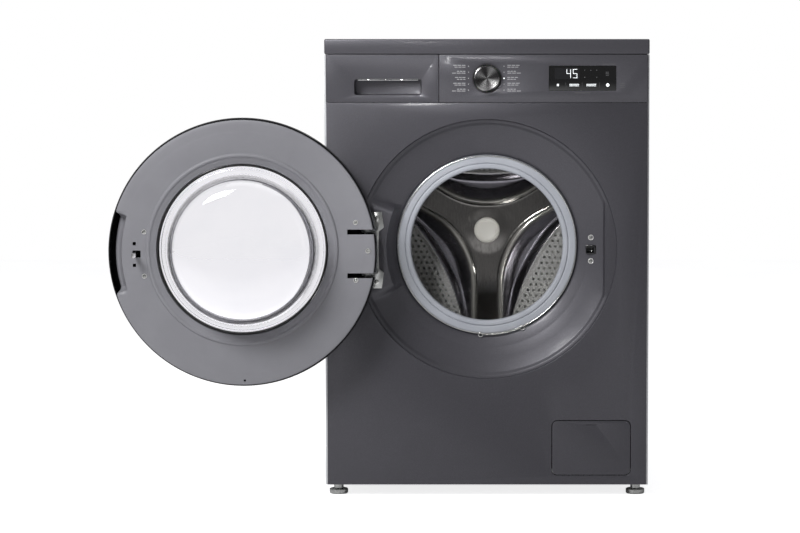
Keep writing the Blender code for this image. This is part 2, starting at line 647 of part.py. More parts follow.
# ---------------------------------------------------------------- pump and service flap
def drain_parts():
    profile = [
        (0, 0.0900), (0.0240, 0.0900), (0.0240, 0.0275), (0.0295, 0.0275), (0.0295, 0.1200), (0.0330, 0.1200),
        (0.0330, 0.1850), (0, 0.1850),
    ]
    pump = add("drain_pump", turned(profile, (FILTER_X, FILTER_Z), "Y", 32), "cabinet", "white plastic")
    fuse(pump, box((FILTER_X - 0.014, 0.040, 0.0231), (FILTER_X + 0.014, 0.110, 0.0640)), "cabinet")
    cap_profile = [
        (0, 0.0200), (0.0300, 0.0200), (0.0300, 0.0270), (0.0225, 0.0270), (0.0225, 0.0800), (0, 0.0800),
    ]
    cap = add("filter_cap", turned(cap_profile, (FILTER_X, FILTER_Z), "Y", 32), "filter_cap", "dark plastic")
    grip = box((FILTER_X - 0.025, 0.0080, FILTER_Z - 0.0035), (FILTER_X + 0.025, 0.0220, FILTER_Z + 0.0035))
    fuse(cap, grip, "filter_cap")
    route = smooth_route(
        [(0.040, 0.160, 0.1965), (0.042, 0.158, 0.150), (0.070, 0.135, 0.103), (0.118, 0.107, 0.090),
         (0.1625, 0.100, 0.090)], 3
    )
    hose("sump_hose", route, 0.0140, "cabinet", "black rubber", 2)
    outlet = add("drain_outlet", rod((0.220, 0.120), 0.0110, "Y", 0.5200, REAR_REACH), "cabinet", "white plastic")
    fuse(outlet, rod((0.220, 0.120), 0.0180, "Y", 0.5500, 0.5555), "cabinet")
    gland = add("cord_gland", rod((0.245, 0.700), 0.0090, "Y", 0.5500, 0.5650), "cabinet", "black plastic")
    fuse(gland, rod((0.245, 0.700), 0.0140, "Y", 0.5460, 0.5540), "cabinet")
    gap = 0.00125
    outline = rounded_rectangle((FLAP_X[0] + gap, FLAP_Z[0] + gap), (FLAP_X[1] - gap, FLAP_Z[1] - gap), 0.0098)
    add("service_flap", prism(outline, "Y", 0.0000, 0.0024), "flap", "graphite paint")


def feet():
    profile = [
        (0, 0), (0.0165, 0), (0.0175, 0.0015), (0.0175, 0.0090), (0.0090, 0.0100), (0.0090, 0.0208),
        (0.0050, 0.0208), (0.0050, 0.0450), (0, 0.0450),
    ]
    for name, (_, place, _) in BODIES.items():
        if name.startswith("foot_"):
            add(name.replace("foot_", "levelling_foot_"), turned(profile, place.xy, "Z", SMALL), name, "zinc steel")


# ---------------------------------------------------------------- door, in its closed position
def hinge_slots():
    """The space that the fixed arms sweep inside the door between closed and open."""
    reach = 0.062
    eye_reach = 0.0120
    clear = 0.0015
    path = [(turn, reach) for turn in range(52, 263, 14)] + [(turn, eye_reach) for turn in range(262, 412, 30)]
    sweep = [
        (DOOR_PIVOT.x + far * math.cos(math.radians(turn)), DOOR_PIVOT.y + far * math.sin(math.radians(turn)))
        for turn, far in path
    ]
    low = HINGE_ARM_HEIGHT / 2 + clear
    for side in (-1, 1):
        middle = HINGE_MIDDLE_Z + side * HINGE_ARM_OFFSET
        yield prism(sweep, "Z", middle - low, middle + low)


def near_grip(turn):
    """1 where the hand goes, at the door's free edge, falling to 0 beside it."""
    turn = min(turn, 2 * math.pi - turn)
    return 1.0 if turn < math.radians(18.5) else 0.0


def door_frames():
    middle = (0, DOOR_Z)
    glass = (0, DRUM_Z)
    opening = 0.1560
    outer = [
        (glass, opening, -0.0200), (glass, opening, -0.0450), (glass, opening + 0.008, -0.0530),
        (middle, 0.2100, -0.0550), (middle, 0.2330, -0.0460), (middle, 0.2440, -0.0330),
        (middle, DOOR_RADIUS, -0.0220), (middle, DOOR_RADIUS - 0.001, -0.0125),
        (middle, DOOR_RADIUS - 0.0035, -0.0125), (middle, DOOR_RADIUS - 0.0030, -0.0220),
        (middle, 0.2415, -0.0320), (middle, 0.2315, -0.0438), (middle, 0.2095, -0.0523),
        (glass, opening + 0.009, -0.0503), (glass, opening + 0.0026, -0.0440),
        (glass, opening + 0.0026, -0.0200),
    ]
    rings = [ring_points(centre, radius, y, ROUND) for centre, radius, y in outer]
    frame = add("door_outer_frame", skin(rings), "door", "black plastic")
    edge = 0.2422
    grip_floor = 0.2210
    inner = [
        (middle, edge, lambda t: -0.0125 - 0.0105 * near_grip(t)),
        (middle, lambda t: 0.2400 - 0.0080 * near_grip(t), lambda t: -0.0050 - 0.0215 * near_grip(t)),
        (middle, lambda t: 0.2360 - (0.2360 - grip_floor) * near_grip(t), -0.0025),
        (middle, 0.2020, -0.0015), (glass, 0.1760, -0.0015), (glass, 0.1720, 0.0020),
        (glass, 0.1680, -0.0015), (glass, 0.1600, 0.0000), (glass, opening, -0.0020),
        (glass, opening, -0.0190), (glass, opening + 0.0026, -0.0190), (glass, opening + 0.0026, -0.0035),
        (glass, 0.1690, -0.0045), (glass, 0.1750, -0.0045), (middle, 0.2030, -0.0040),
        (middle, lambda t: 0.2345 - (0.2345 - grip_floor + 0.0024) * near_grip(t), -0.0050),
        (middle, lambda t: 0.2372 - 0.0085 * near_grip(t), lambda t: -0.0075 - 0.0215 * near_grip(t)),
        (middle, edge - 0.0024, lambda t: -0.0125 - 0.0125 * near_grip(t)),
    ]
    rings = [ring_points(centre, radius, y, ROUND) for centre, radius, y in inner]
    cover = add("door_inner_frame", skin(rings), "door", "grey plastic")
    hook_hole = box((LATCH_X - 0.0085, -0.020, LATCH_Z - 0.0065), (LATCH_X + 0.0065, 0.010, LATCH_Z + 0.0065))
    cut(cover, hook_hole, "door")
    for part in (frame, cover):
        for slot in hinge_slots():
            cut(part, slot, "door")


def door_glass():
    centre = (0, DRUM_Z)
    rings = []
    count = ROUND
    wall = 0.0045
    shape = [
        (0.1515, -0.0120, 0), (0.1515, -0.0070, 0), (0.1440, -0.0040, 0), (0.1385, 0.0080, 0.1),
        (0.1350, 0.0300, 0.3), (0.1300, 0.0520, 0.6), (0.1200, 0.0690, 0.9), (0.1000, 0.0790, 1.0),
    ]
    for radius, y, shift in shape:
        place = (centre[0] + BOWL_SHIFT.x * shift, centre[1] + BOWL_SHIFT.z * shift)
        rings.append(ring_points(place, radius, y, count))
    inside = []
    for radius, y, shift in shape[3:]:
        place = (centre[0] + BOWL_SHIFT.x * shift, centre[1] + BOWL_SHIFT.z * shift)
        inside.append(ring_points(place, radius - wall * 0.95, y - wall * 0.75 - 0.001, count))
    inside = inside[::-1] + [ring_points(centre, 0.1400, -0.0120, count)]
    bm = skin(rings, closed=False)
    bm.verts.ensure_lookup_table()
    outer_first = list(bm.verts)[:count]
    outer_last = list(bm.verts)[-count:]
    tip = bm.verts.new((BOWL_SHIFT.x, DOOR_BOWL_DEPTH, DRUM_Z + BOWL_SHIFT.z))
    for k in range(count):
        bm.faces.new((outer_last[k], outer_last[(k + 1) % count], tip))
    skin(inside, closed=False, bm=bm)
    bm.verts.ensure_lookup_table()
    made = list(bm.verts)[-len(inside) * count :]
    inner_first = made[:count]
    inner_last = made[-count:]
    pit = bm.verts.new((BOWL_SHIFT.x, DOOR_BOWL_DEPTH - wall, DRUM_Z + BOWL_SHIFT.z))
    for k in range(count):
        n = (k + 1) % count
        bm.faces.new((inner_first[n], inner_first[k], pit))
        bm.faces.new((inner_last[k], inner_last[n], outer_first[n], outer_first[k]))
    add("door_glass", bm, "door", "clear glass")
    seal = [(0.1518, -0.0120), (0.1557, -0.0120), (0.1557, -0.0010), (0.1545, 0.0005), (0.1518, -0.0010)]
    add("glass_seal", turned(seal, (0, DRUM_Z), "Y", ROUND), "door", "black rubber")


def door_small_parts():
    length = HINGE_ARM_OFFSET + HINGE_ARM_HEIGHT + 0.004
    pin = rod(DOOR_PIVOT.xy, 0.0030, "Z", HINGE_MIDDLE_Z - length, HINGE_MIDDLE_Z + length, 16)
    add("hinge_pin", pin, "door", "zinc steel")
    shank = [
        (LATCH_X - 0.0030, -0.0110), (LATCH_X + 0.0030, -0.0110), (LATCH_X + 0.0030, 0.0370),
        (LATCH_X + 0.0010, 0.0400), (LATCH_X - 0.0045, 0.0340), (LATCH_X - 0.0045, 0.0310),
        (LATCH_X - 0.0010, 0.0310), (LATCH_X - 0.0020, 0.0000),
    ]
    add("door_hook", prism(shank, "Z", LATCH_Z - 0.0040, LATCH_Z + 0.0040), "door_hook", "zinc steel")


clear_scene()
MATERIALS = {name: make_material(name, *values) for name, values in FINISHES.items()}
EMPTIES = make_bodies()
cabinet_shell()
base_pan()
rear_panel()
worktop()
front_panel()
control_fascia()
control_board()
programme_knob()
dispenser()
detergent_drawer()
hinge_bracket()
door_lock()
gasket()
tub()
counterweight("upper_counterweight", 28, 152)
counterweight("lower_counterweight", 208, 332)
drive()
drum()
heater()
suspension()
drain_parts()
feet()
door_frames()
door_glass()
door_small_parts()
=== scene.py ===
# %% [markdown]
# # A front-loading washing machine with its door open
# This lesson dresses a working model of a washing machine. The model already has its bodies and joints, and
# none of its parts is moved here. Each step models one piece a little better than the plain working shape,
# and hangs it on the body that carries it, so that the door, the drum, the drawer and the knob all still
# move.

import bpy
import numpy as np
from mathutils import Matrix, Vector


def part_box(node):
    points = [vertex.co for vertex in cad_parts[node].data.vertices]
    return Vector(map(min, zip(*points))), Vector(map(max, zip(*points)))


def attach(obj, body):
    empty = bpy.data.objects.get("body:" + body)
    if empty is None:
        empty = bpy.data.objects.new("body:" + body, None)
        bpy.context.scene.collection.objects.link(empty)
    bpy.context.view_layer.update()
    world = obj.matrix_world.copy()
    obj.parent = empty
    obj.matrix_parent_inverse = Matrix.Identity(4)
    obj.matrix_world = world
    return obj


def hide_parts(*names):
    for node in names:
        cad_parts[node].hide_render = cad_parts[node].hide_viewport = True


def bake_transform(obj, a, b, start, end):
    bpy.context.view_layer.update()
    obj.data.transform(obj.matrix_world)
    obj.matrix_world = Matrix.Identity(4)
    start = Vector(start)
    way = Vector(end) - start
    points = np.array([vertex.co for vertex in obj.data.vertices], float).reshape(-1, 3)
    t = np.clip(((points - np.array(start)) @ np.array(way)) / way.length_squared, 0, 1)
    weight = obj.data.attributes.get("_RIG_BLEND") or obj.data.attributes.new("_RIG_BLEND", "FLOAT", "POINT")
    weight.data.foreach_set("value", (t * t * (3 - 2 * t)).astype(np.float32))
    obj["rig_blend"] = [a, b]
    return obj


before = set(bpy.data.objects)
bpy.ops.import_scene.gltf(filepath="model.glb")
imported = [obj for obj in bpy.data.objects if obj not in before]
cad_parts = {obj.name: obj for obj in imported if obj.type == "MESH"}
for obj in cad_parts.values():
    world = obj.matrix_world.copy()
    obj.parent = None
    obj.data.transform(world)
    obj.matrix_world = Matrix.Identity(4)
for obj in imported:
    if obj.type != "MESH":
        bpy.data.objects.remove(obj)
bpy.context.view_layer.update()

# %% Other modules
import math

import bmesh
import bpy
from mathutils import Matrix, Vector
from mathutils.kdtree import KDTree

# %% [markdown]
# The machine is easiest to think of from the middle of its front: x to the right, y backwards and z up from
# the floor. The frame's origin lies elsewhere, because the open door counts in its box, so the pieces are
# modelled in the machine's own coordinates and carried over at the end. The driving sizes come from the
# frame itself.

# %% Driving sizes, in metres
panel_low, panel_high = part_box("front_panel")
MACHINE_ORIGIN = Vector(((panel_low.x + panel_high.x) / 2, panel_low.y, 0))
FRONT_HALF = (panel_high.x - panel_low.x) / 2
PANEL_BOTTOM = panel_low.z
PANEL_TOP = panel_high.z
gasket_low, gasket_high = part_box("gasket")
DRUM_Z = (gasket_low.z + gasket_high.z) / 2
door_low, door_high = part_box("door_outer_frame")
DOOR_Z = (door_low.z + door_high.z) / 2
DOOR_RADIUS = (door_high.z - door_low.z) / 2
pin_low, pin_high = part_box("hinge_pin")
HINGE_AXIS = (pin_low + pin_high) / 2 - MACHINE_ORIGIN
hook_low, hook_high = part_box("door_hook")
HOOK_Z = (hook_low.z + hook_high.z) / 2
print("drum axis at", round(DRUM_Z, 4), "door radius", round(DOOR_RADIUS, 4), "hinge at", HINGE_AXIS[:])

# %% [markdown]
# Every operator acts on the selection, so each step starts from a clean one. These few helpers are the
# habits of a tidy modeller: pick one piece, apply a modifier at once, choose edges or faces by a rule, and
# shade.

# %% Selection and modifier helpers
def clear_selection():
    if bpy.context.mode != "OBJECT":
        bpy.ops.object.mode_set(mode="OBJECT")
    bpy.ops.object.select_all(action="DESELECT")


def pick(*pieces):
    clear_selection()
    for piece in pieces:
        piece.select_set(True)
    bpy.context.view_layer.objects.active = pieces[0]


def apply_modifier(piece, kind, **settings):
    pick(piece)
    modifier = piece.modifiers.new(kind.title(), kind)
    for setting, value in settings.items():
        setattr(modifier, setting, value)
    bpy.ops.object.modifier_apply(modifier=modifier.name)


def choose(piece, kind, rule):
    """Edit mode, with only those verts, edges or faces selected that the rule accepts."""
    pick(piece)
    bpy.ops.object.mode_set(mode="EDIT")
    bpy.ops.mesh.select_mode(type=kind)
    bpy.ops.mesh.select_all(action="DESELECT")
    mesh = bmesh.from_edit_mesh(piece.data)
    for element in {"VERT": mesh.verts, "EDGE": mesh.edges, "FACE": mesh.faces}[kind]:
        if rule(element):
            element.select_set(True)
    mesh.select_flush_mode()
    bmesh.update_edit_mesh(piece.data)


def tidy_mesh(piece, merge=0.00001):
    pick(piece)
    bpy.ops.object.mode_set(mode="EDIT")
    bpy.ops.mesh.select_mode(type="VERT")
    bpy.ops.mesh.select_all(action="SELECT")
    bpy.ops.mesh.remove_doubles(threshold=merge)
    bpy.ops.mesh.normals_make_consistent(inside=False)
    bpy.ops.object.mode_set(mode="OBJECT")


def round_edges(piece, width, segments=2, angle=30):
    apply_modifier(
        piece, "BEVEL", width=width, segments=segments, limit_method="ANGLE",
        angle_limit=math.radians(angle), use_clamp_overlap=True, harden_normals=False,
    )


def cut_away(piece, cutter):
    """The cutter's shape is taken from the piece, and the cutter is thrown away."""
    apply_modifier(piece, "BOOLEAN", object=cutter, operation="DIFFERENCE", solver="EXACT")
    bpy.data.objects.remove(cutter)
    if not piece.data.polygons:
        raise ValueError(f"nothing is left of {piece.name}")


def join(pieces, name):
    pick(*pieces)
    if len(pieces) > 1:
        bpy.ops.object.join()
    joined = bpy.context.view_layer.objects.active
    joined.name = joined.data.name = name
    return joined


print("helpers ready")

# %% [markdown]
# Three ways of starting a piece cover nearly the whole machine. A block is a cube with rounded corners. A
# disc-like piece is a circle drawn out ring by ring, each ring put where a rule says, which also makes
# shapes that are nearly round. And where the working part already has the right shape, a copy of it is
# merged and gets soft edges.

# %% Starting shapes
def block(name, x, y, z, corner=0, corner_steps=6, edge=0, edge_steps=2):
    """A block between the given limits, its corners rounded as seen from the front."""
    clear_selection()
    bpy.ops.mesh.primitive_cube_add(size=1)
    piece = bpy.context.object
    piece.name = piece.data.name = name
    spans = [sorted(limits) for limits in (x, y, z)]
    piece.location = [(low + high) / 2 for low, high in spans]
    piece.scale = [high - low for low, high in spans]
    bpy.ops.object.transform_apply(location=True, rotation=True, scale=True)
    if corner:
        choose(piece, "EDGE", lambda e: abs((e.verts[0].co - e.verts[1].co).normalized().y) > 0.99)
        bpy.ops.mesh.bevel(offset=corner, segments=corner_steps, affect="EDGES")
        bpy.ops.object.mode_set(mode="OBJECT")
    if edge:
        round_edges(piece, edge, edge_steps)
    return piece


def ring(radius, y, z=DRUM_Z, x=0.0):
    """The place of a ring's point at an angle. Radius and y may be numbers or rules of the angle."""
    def place(turn):
        reach = radius(turn) if callable(radius) else radius
        depth = y(turn) if callable(y) else y
        return Vector((x + reach * math.cos(turn), depth, z + reach * math.sin(turn)))
    return place


def loft(name, rings, sides=160, closed=False):
    """A circle extruded through the rings. A closed loft ends on its first ring, as a turned solid does."""
    clear_selection()
    bpy.ops.mesh.primitive_circle_add(vertices=sides, radius=1, rotation=(math.pi / 2, 0, 0))
    piece = bpy.context.object
    piece.name = piece.data.name = name
    bpy.ops.object.transform_apply(rotation=True)
    bpy.ops.object.mode_set(mode="EDIT")
    bpy.ops.mesh.select_mode(type="VERT")
    bpy.ops.mesh.select_all(action="SELECT")
    mesh = bmesh.from_edit_mesh(piece.data)
    turn = mesh.verts.layers.float.new("turn")
    for vert in mesh.verts:
        vert[turn] = math.atan2(vert.co.z, vert.co.x)
    for number, place in enumerate(rings + rings[:1] if closed else rings):
        if number:
            bpy.ops.mesh.extrude_region_move()
        mesh = bmesh.from_edit_mesh(piece.data)
        turn = mesh.verts.layers.float["turn"]
        for vert in mesh.verts:
            if vert.select:
                vert.co = place(vert[turn])
        bmesh.update_edit_mesh(piece.data)
    bpy.ops.object.mode_set(mode="OBJECT")
    piece.data.attributes.remove(piece.data.attributes["turn"])
    tidy_mesh(piece)
    return piece


def rod(name, centre, radius, y, sides=32, edge=0):
    """A round bar along y, its end faces drawn in a little where edge is given."""
    x, z = centre
    rings = [ring(0, y[0], z, x), ring(radius - edge, y[0], z, x), ring(radius, y[0] + edge, z, x),
             ring(radius, y[1] - edge, z, x), ring(radius - edge, y[1], z, x), ring(0, y[1], z, x)]
    return loft(name, rings, sides)


def softened_copy(node, name, width, segments=2, angle=30):
    """A merged copy of a working part with soft edges, in the machine's coordinates."""
    piece = bpy.data.objects.new(name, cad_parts[node].data.copy())
    bpy.context.scene.collection.objects.link(piece)
    piece.data.materials.clear()
    piece.data.transform(Matrix.Translation(-MACHINE_ORIGIN))
    tidy_mesh(piece)
    pick(piece)
    bpy.ops.object.mode_set(mode="EDIT")
    bpy.ops.mesh.select_all(action="SELECT")
    bpy.ops.mesh.dissolve_limited(angle_limit=math.radians(1))
    bpy.ops.object.mode_set(mode="OBJECT")
    if width:
        round_edges(piece, width, segments, angle)
    return piece


def copied(piece, name, offset):
    twin = bpy.data.objects.new(name, piece.data.copy())
    bpy.context.scene.collection.objects.link(twin)
    twin.data.transform(Matrix.Translation(offset))
    return twin


def placed(piece, body, finish, slot, nodes=(), on_door=False, smooth_angle=35):
    """Puts a finished piece in its place and finish, and on its body if it rides on just one."""
    pick(piece)
    bpy.ops.object.mode_set(mode="EDIT")
    bpy.ops.mesh.select_all(action="SELECT")
    if on_door:
        bpy.ops.transform.rotate(value=math.pi, orient_axis="Z", center_override=HINGE_AXIS)
    bpy.ops.transform.translate(value=MACHINE_ORIGIN)
    bpy.ops.object.mode_set(mode="OBJECT")
    bpy.ops.object.shade_smooth_by_angle(angle=math.radians(smooth_angle))
    piece.data.materials.clear()
    piece.data.materials.append(finish)
    if nodes:
        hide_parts(*nodes)
        corners = [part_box(node) for node in nodes]
        own = [Vector([pick_end(v.co[i] for v in piece.data.vertices) for i in range(3)])
               for pick_end in (min, max)]
        wanted = [Vector([pick_end(c[n][i] for c in corners) for i in range(3)])
                  for n, pick_end in enumerate((min, max))]
        gap = max((a - b).length for a, b in zip(own, wanted)) * 1000
        print(f"{piece.name}: {len(piece.data.polygons)} faces, {gap:.1f} mm off the working part's box")
    else:
        print(f"{piece.name}: {len(piece.data.polygons)} faces")
    if body:
        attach(piece, body)
    return piece


print("starting shapes ready")

# %% [markdown]
# # Finishes
# A finish is never one flat colour. Paint has flakes and a faint orange-peel skin, moulded plastic has a
# fine grain, steel has its brushing, and everything handled has slow patches of wear and dust. Effects that
# several finishes share are node groups, built once. A group only gives what changes over the surface: a
# colour, a roughness or a height. The shader itself, and every number that is the same all over, stay in
# the material.

# %% Node helpers
def new_group(name, inputs, outputs):
    """A shader group with its sockets, and its input and output nodes."""
    group = bpy.data.node_groups.new(name, "ShaderNodeTree")
    for socket, kind, value in inputs:
        made = group.interface.new_socket(socket, in_out="INPUT", socket_type=kind)
        made.default_value = value
    for socket, kind in outputs:
        group.interface.new_socket(socket, in_out="OUTPUT", socket_type=kind)
    return group, group.nodes.new("NodeGroupInput"), group.nodes.new("NodeGroupOutput")


def add_node(tree, kind, settings=None, **values):
    """A node, with its settings and the values or links of its inputs."""
    node = tree.nodes.new(kind)
    for setting, value in (settings or {}).items():
        setattr(node, setting, value)
    for socket, value in values.items():
        target = node.inputs[int(socket[1:]) if socket[1:].isdigit() else socket.replace("_", " ")]
        if isinstance(value, bpy.types.NodeSocket):
            tree.links.new(value, target)
        else:
            target.default_value = value
    return node


def mixed(tree, factor, first, second, blend="MIX"):
    node = tree.nodes.new("ShaderNodeMix")
    node.data_type = "RGBA"
    node.blend_type = blend
    for number, value in ((0, factor), (6, first), (7, second)):
        if isinstance(value, bpy.types.NodeSocket):
            tree.links.new(value, node.inputs[number])
        else:
            node.inputs[number].default_value = value
    return node.outputs[2]


def computed(tree, operation, *values):
    return add_node(tree, "ShaderNodeMath", {"operation": operation},
                    **{f"_{n}": v for n, v in enumerate(values)}).outputs[0]


def remapped(tree, value, low, high, new_low=0.0, new_high=1.0):
    node = add_node(tree, "ShaderNodeMapRange", {"interpolation_type": "SMOOTHSTEP"}, Value=value)
    for socket, number in (("From Min", low), ("From Max", high), ("To Min", new_low), ("To Max", new_high)):
        if isinstance(number, bpy.types.NodeSocket):
            tree.links.new(number, node.inputs[socket])
        else:
            node.inputs[socket].default_value = number
    return node.outputs[0]


def object_place(tree, scale=(1.0, 1.0, 1.0)):
    place = tree.nodes.new("ShaderNodeTexCoord").outputs["Object"]
    return add_node(tree, "ShaderNodeMapping", Vector=place, Scale=scale).outputs[0]


COLOUR, NUMBER = "NodeSocketColor", "NodeSocketFloat"
GREY = (0.5, 0.5, 0.5, 1)
print("node helpers ready")

# %% [markdown]
# `handled` spreads soft patches of a second colour and of roughness over a surface, with a little fine
# dust. `flake_paint` adds the sparkle and skin of a sprayed metallic coat. `moulded` is the grain of a
# plastic mould. `brushed` draws out noise along one direction, and `spun` draws it round an axis and also
# paints fixed bright rays across the face, a painted highlight of the kind a spun face reflects.

# %% The shared effects
def make_handled():
    group, given, result = new_group(
        "handled", [("Colour", COLOUR, GREY), ("Patch Colour", COLOUR, GREY), ("Amount", NUMBER, 0.4),
                    ("Scale", NUMBER, 9.0), ("Low Roughness", NUMBER, 0.3), ("High Roughness", NUMBER, 0.5)],
        [("Colour", COLOUR), ("Roughness", NUMBER)])
    place = object_place(group)
    broad = add_node(group, "ShaderNodeTexNoise", Vector=place, Scale=given.outputs["Scale"], Detail=5.0,
                     Roughness=0.6)
    fine = add_node(group, "ShaderNodeTexNoise", Vector=place, Scale=420.0, Detail=2.0)
    patch = remapped(group, broad.outputs[0], 0.42, 0.72)
    dust = remapped(group, fine.outputs[0], 0.55, 0.75)
    strength = computed(group, "MULTIPLY", computed(group, "ADD", patch,
                                                    computed(group, "MULTIPLY", dust, 0.25)),
                        given.outputs["Amount"])
    group.links.new(mixed(group, strength, given.outputs["Colour"], given.outputs["Patch Colour"]),
                    result.inputs[0])
    blotch = computed(group, "ADD", computed(group, "MULTIPLY", patch, 0.75),
                      computed(group, "MULTIPLY", dust, 0.25))
    rough = remapped(group, blotch, 0.0, 1.0, given.outputs["Low Roughness"], given.outputs["High Roughness"])
    group.links.new(rough, result.inputs[1])
    return group


def make_flake_paint():
    group, given, result = new_group(
        "flake_paint", [("Colour", COLOUR, GREY), ("Flake Colour", COLOUR, GREY), ("Flakes", NUMBER, 0.3)],
        [("Colour", COLOUR), ("Height", NUMBER), ("Metal", NUMBER)])
    place = object_place(group)
    cells = add_node(group, "ShaderNodeTexVoronoi", Vector=place, Scale=2600.0)
    sparkle = remapped(group, add_node(group, "ShaderNodeSeparateColor",
                                       Color=cells.outputs["Color"]).outputs[0], 0.6, 1.0)
    amount = computed(group, "MULTIPLY", sparkle, given.outputs["Flakes"])
    group.links.new(mixed(group, amount, given.outputs["Colour"], given.outputs["Flake Colour"]),
                    result.inputs[0])
    peel = add_node(group, "ShaderNodeTexNoise", Vector=place, Scale=260.0, Detail=1.0)
    group.links.new(peel.outputs[0], result.inputs[1])
    group.links.new(remapped(group, sparkle, 0.0, 1.0, 0.35, 0.7), result.inputs[2])
    return group


def make_moulded():
    group, given, result = new_group(
        "moulded", [("Grain Scale", NUMBER, 1400.0)], [("Height", NUMBER), ("Shade", NUMBER)])
    place = object_place(group)
    grain = add_node(group, "ShaderNodeTexVoronoi", {"feature": "SMOOTH_F1"}, Vector=place,
                     Scale=given.outputs[0])
    flow = add_node(group, "ShaderNodeTexNoise", Vector=place, Scale=18.0, Detail=3.0)
    group.links.new(grain.outputs["Distance"], result.inputs[0])
    group.links.new(remapped(group, flow.outputs[0], 0.3, 0.7), result.inputs[1])
    return group


def make_brushed():
    group, given, result = new_group(
        "brushed", [("Colour", COLOUR, GREY), ("Line Colour", COLOUR, GREY),
                    ("Stretch", "NodeSocketVector", (40, 900, 900)),
                    ("Low Roughness", NUMBER, 0.2), ("High Roughness", NUMBER, 0.4)],
        [("Colour", COLOUR), ("Roughness", NUMBER), ("Height", NUMBER)])
    place = group.nodes.new("ShaderNodeTexCoord").outputs["Object"]
    drawn = add_node(group, "ShaderNodeMapping", Vector=place, Scale=given.outputs["Stretch"])
    lines = add_node(group, "ShaderNodeTexNoise", Vector=drawn.outputs[0], Scale=1.0, Detail=4.0,
                     Roughness=0.7)
    cloud = add_node(group, "ShaderNodeTexNoise", Vector=place, Scale=14.0, Detail=4.0)
    strength = remapped(group, lines.outputs[0], 0.3, 0.75)
    shade = computed(group, "MULTIPLY", strength, remapped(group, cloud.outputs[0], 0.3, 0.7, 0.4, 1.0))
    group.links.new(mixed(group, shade, given.outputs["Colour"], given.outputs["Line Colour"]),
                    result.inputs[0])
    rough = remapped(group, shade, 0.0, 1.0, given.outputs["Low Roughness"], given.outputs["High Roughness"])
    group.links.new(rough, result.inputs[1])
    group.links.new(strength, result.inputs[2])
    return group


def make_spun_with_painted_highlight():
    group, given, result = new_group(
        "spun", [("Colour", COLOUR, GREY), ("Sheen Colour", COLOUR, GREY), ("Centre X", NUMBER, 0.0),
                 ("Centre Z", NUMBER, 0.0), ("Rays", NUMBER, 2.0), ("Turn", NUMBER, 0.0)],
        [("Colour", COLOUR), ("Roughness", NUMBER), ("Height", NUMBER)])
    place = group.nodes.new("ShaderNodeTexCoord").outputs["Object"]
    parts = add_node(group, "ShaderNodeSeparateXYZ", Vector=place).outputs
    across = computed(group, "SUBTRACT", parts[0], given.outputs["Centre X"])
    up = computed(group, "SUBTRACT", parts[2], given.outputs["Centre Z"])
    reach = computed(group, "SQRT", computed(group, "ADD", computed(group, "MULTIPLY", across, across),
                                             computed(group, "MULTIPLY", up, up)))
    rings = add_node(group, "ShaderNodeTexNoise", {"noise_dimensions": "1D"}, W=reach, Scale=2200.0,
                     Detail=3.0)
    angle = computed(group, "ADD", computed(group, "ARCTAN2", up, across), given.outputs["Turn"])
    # The rays are a painted highlight: fixed bright sectors round the centre, mixed into the colour, that
    # stand in for the reflection of the spun face.
    rays = computed(group, "ABSOLUTE", computed(group, "COSINE",
                                                computed(group, "MULTIPLY", angle, given.outputs["Rays"])))
    painted_highlight_rays = computed(group, "MULTIPLY", computed(group, "POWER", rays, 3.0),
                     remapped(group, rings.outputs[0], 0.2, 0.7, 0.6, 1.0))
    group.links.new(mixed(group, painted_highlight_rays, given.outputs["Colour"], given.outputs["Sheen Colour"]),
                    result.inputs[0])
    group.links.new(remapped(group, rings.outputs[0], 0.3, 0.7, 0.18, 0.36), result.inputs[1])
    group.links.new(rings.outputs[0], result.inputs[2])
    return group


HANDLED, FLAKE_PAINT, MOULDED = make_handled(), make_flake_paint(), make_moulded()
BRUSHED, SPUN_WITH_PAINTED_HIGHLIGHT = make_brushed(), make_spun_with_painted_highlight()
print("effects:", [group.name for group in bpy.data.node_groups])

# %% [markdown]
# A material starts as a Principled shader. Its plain numbers are set on it directly, and the groups feed
# the rest.

# %% Building a finish
def new_finish(name, **plain):
    """A material, its node tree and its Principled shader with the plain values set on it."""
    finish = bpy.data.materials.new(name)
    finish.use_nodes = True
    shader = finish.node_tree.nodes["Principled BSDF"]
    for socket, value in plain.items():
        shader.inputs[socket.replace("_", " ")].default_value = value
    return finish, finish.node_tree, shader


def use_group(tree, group, **values):
    node = tree.nodes.new("ShaderNodeGroup")
    node.node_tree = group
    for socket, value in values.items():
        target = node.inputs[socket.replace("_", " ")]
        if isinstance(value, bpy.types.NodeSocket):
            tree.links.new(value, target)
        else:
            target.default_value = value
    return node.outputs


def bumped(tree, shader, height, distance, strength=0.5):
    bump = add_node(tree, "ShaderNodeBump", Height=height, Distance=distance, Strength=strength)
    tree.links.new(bump.outputs[0], shader.inputs["Normal"])


def shade(red, green=None, blue=None):
    """A colour given as 0 to 255, as a colour chart does, turned into linear light."""
    values = (red, red if green is None else green, red if blue is None else blue)
    return tuple(((v / 255 + 0.055) / 1.055) ** 2.4 if v > 10 else v / 255 / 12.92 for v in values) + (1.0,)


print("mid grey is", round(shade(128)[0], 3), "in linear light")

# %% [markdown]
# The machine's coat is a satin graphite with fine metal flakes under a thin clear lacquer. The cabinet's
# side sheets are the same idea in silver. Both get slow handling patches, so that a large flat face never
# looks printed.

# %% Paints
def make_paint(name, colour, flake, patch, rough, coat):
    finish, tree, shader = new_finish(name, Coat_Weight=coat, Coat_Roughness=0.12, IOR=1.5)
    paint = use_group(tree, FLAKE_PAINT, Colour=colour, Flake_Colour=flake, Flakes=0.45)
    use = use_group(tree, HANDLED, Colour=paint["Colour"], Patch_Colour=patch, Amount=0.22, Scale=5.0,
                    Low_Roughness=rough, High_Roughness=rough + 0.10)
    tree.links.new(use["Colour"], shader.inputs["Base Color"])
    tree.links.new(use["Roughness"], shader.inputs["Roughness"])
    tree.links.new(paint["Metal"], shader.inputs["Metallic"])
    bumped(tree, shader, paint["Height"], 0.00006, 0.35)
    return finish


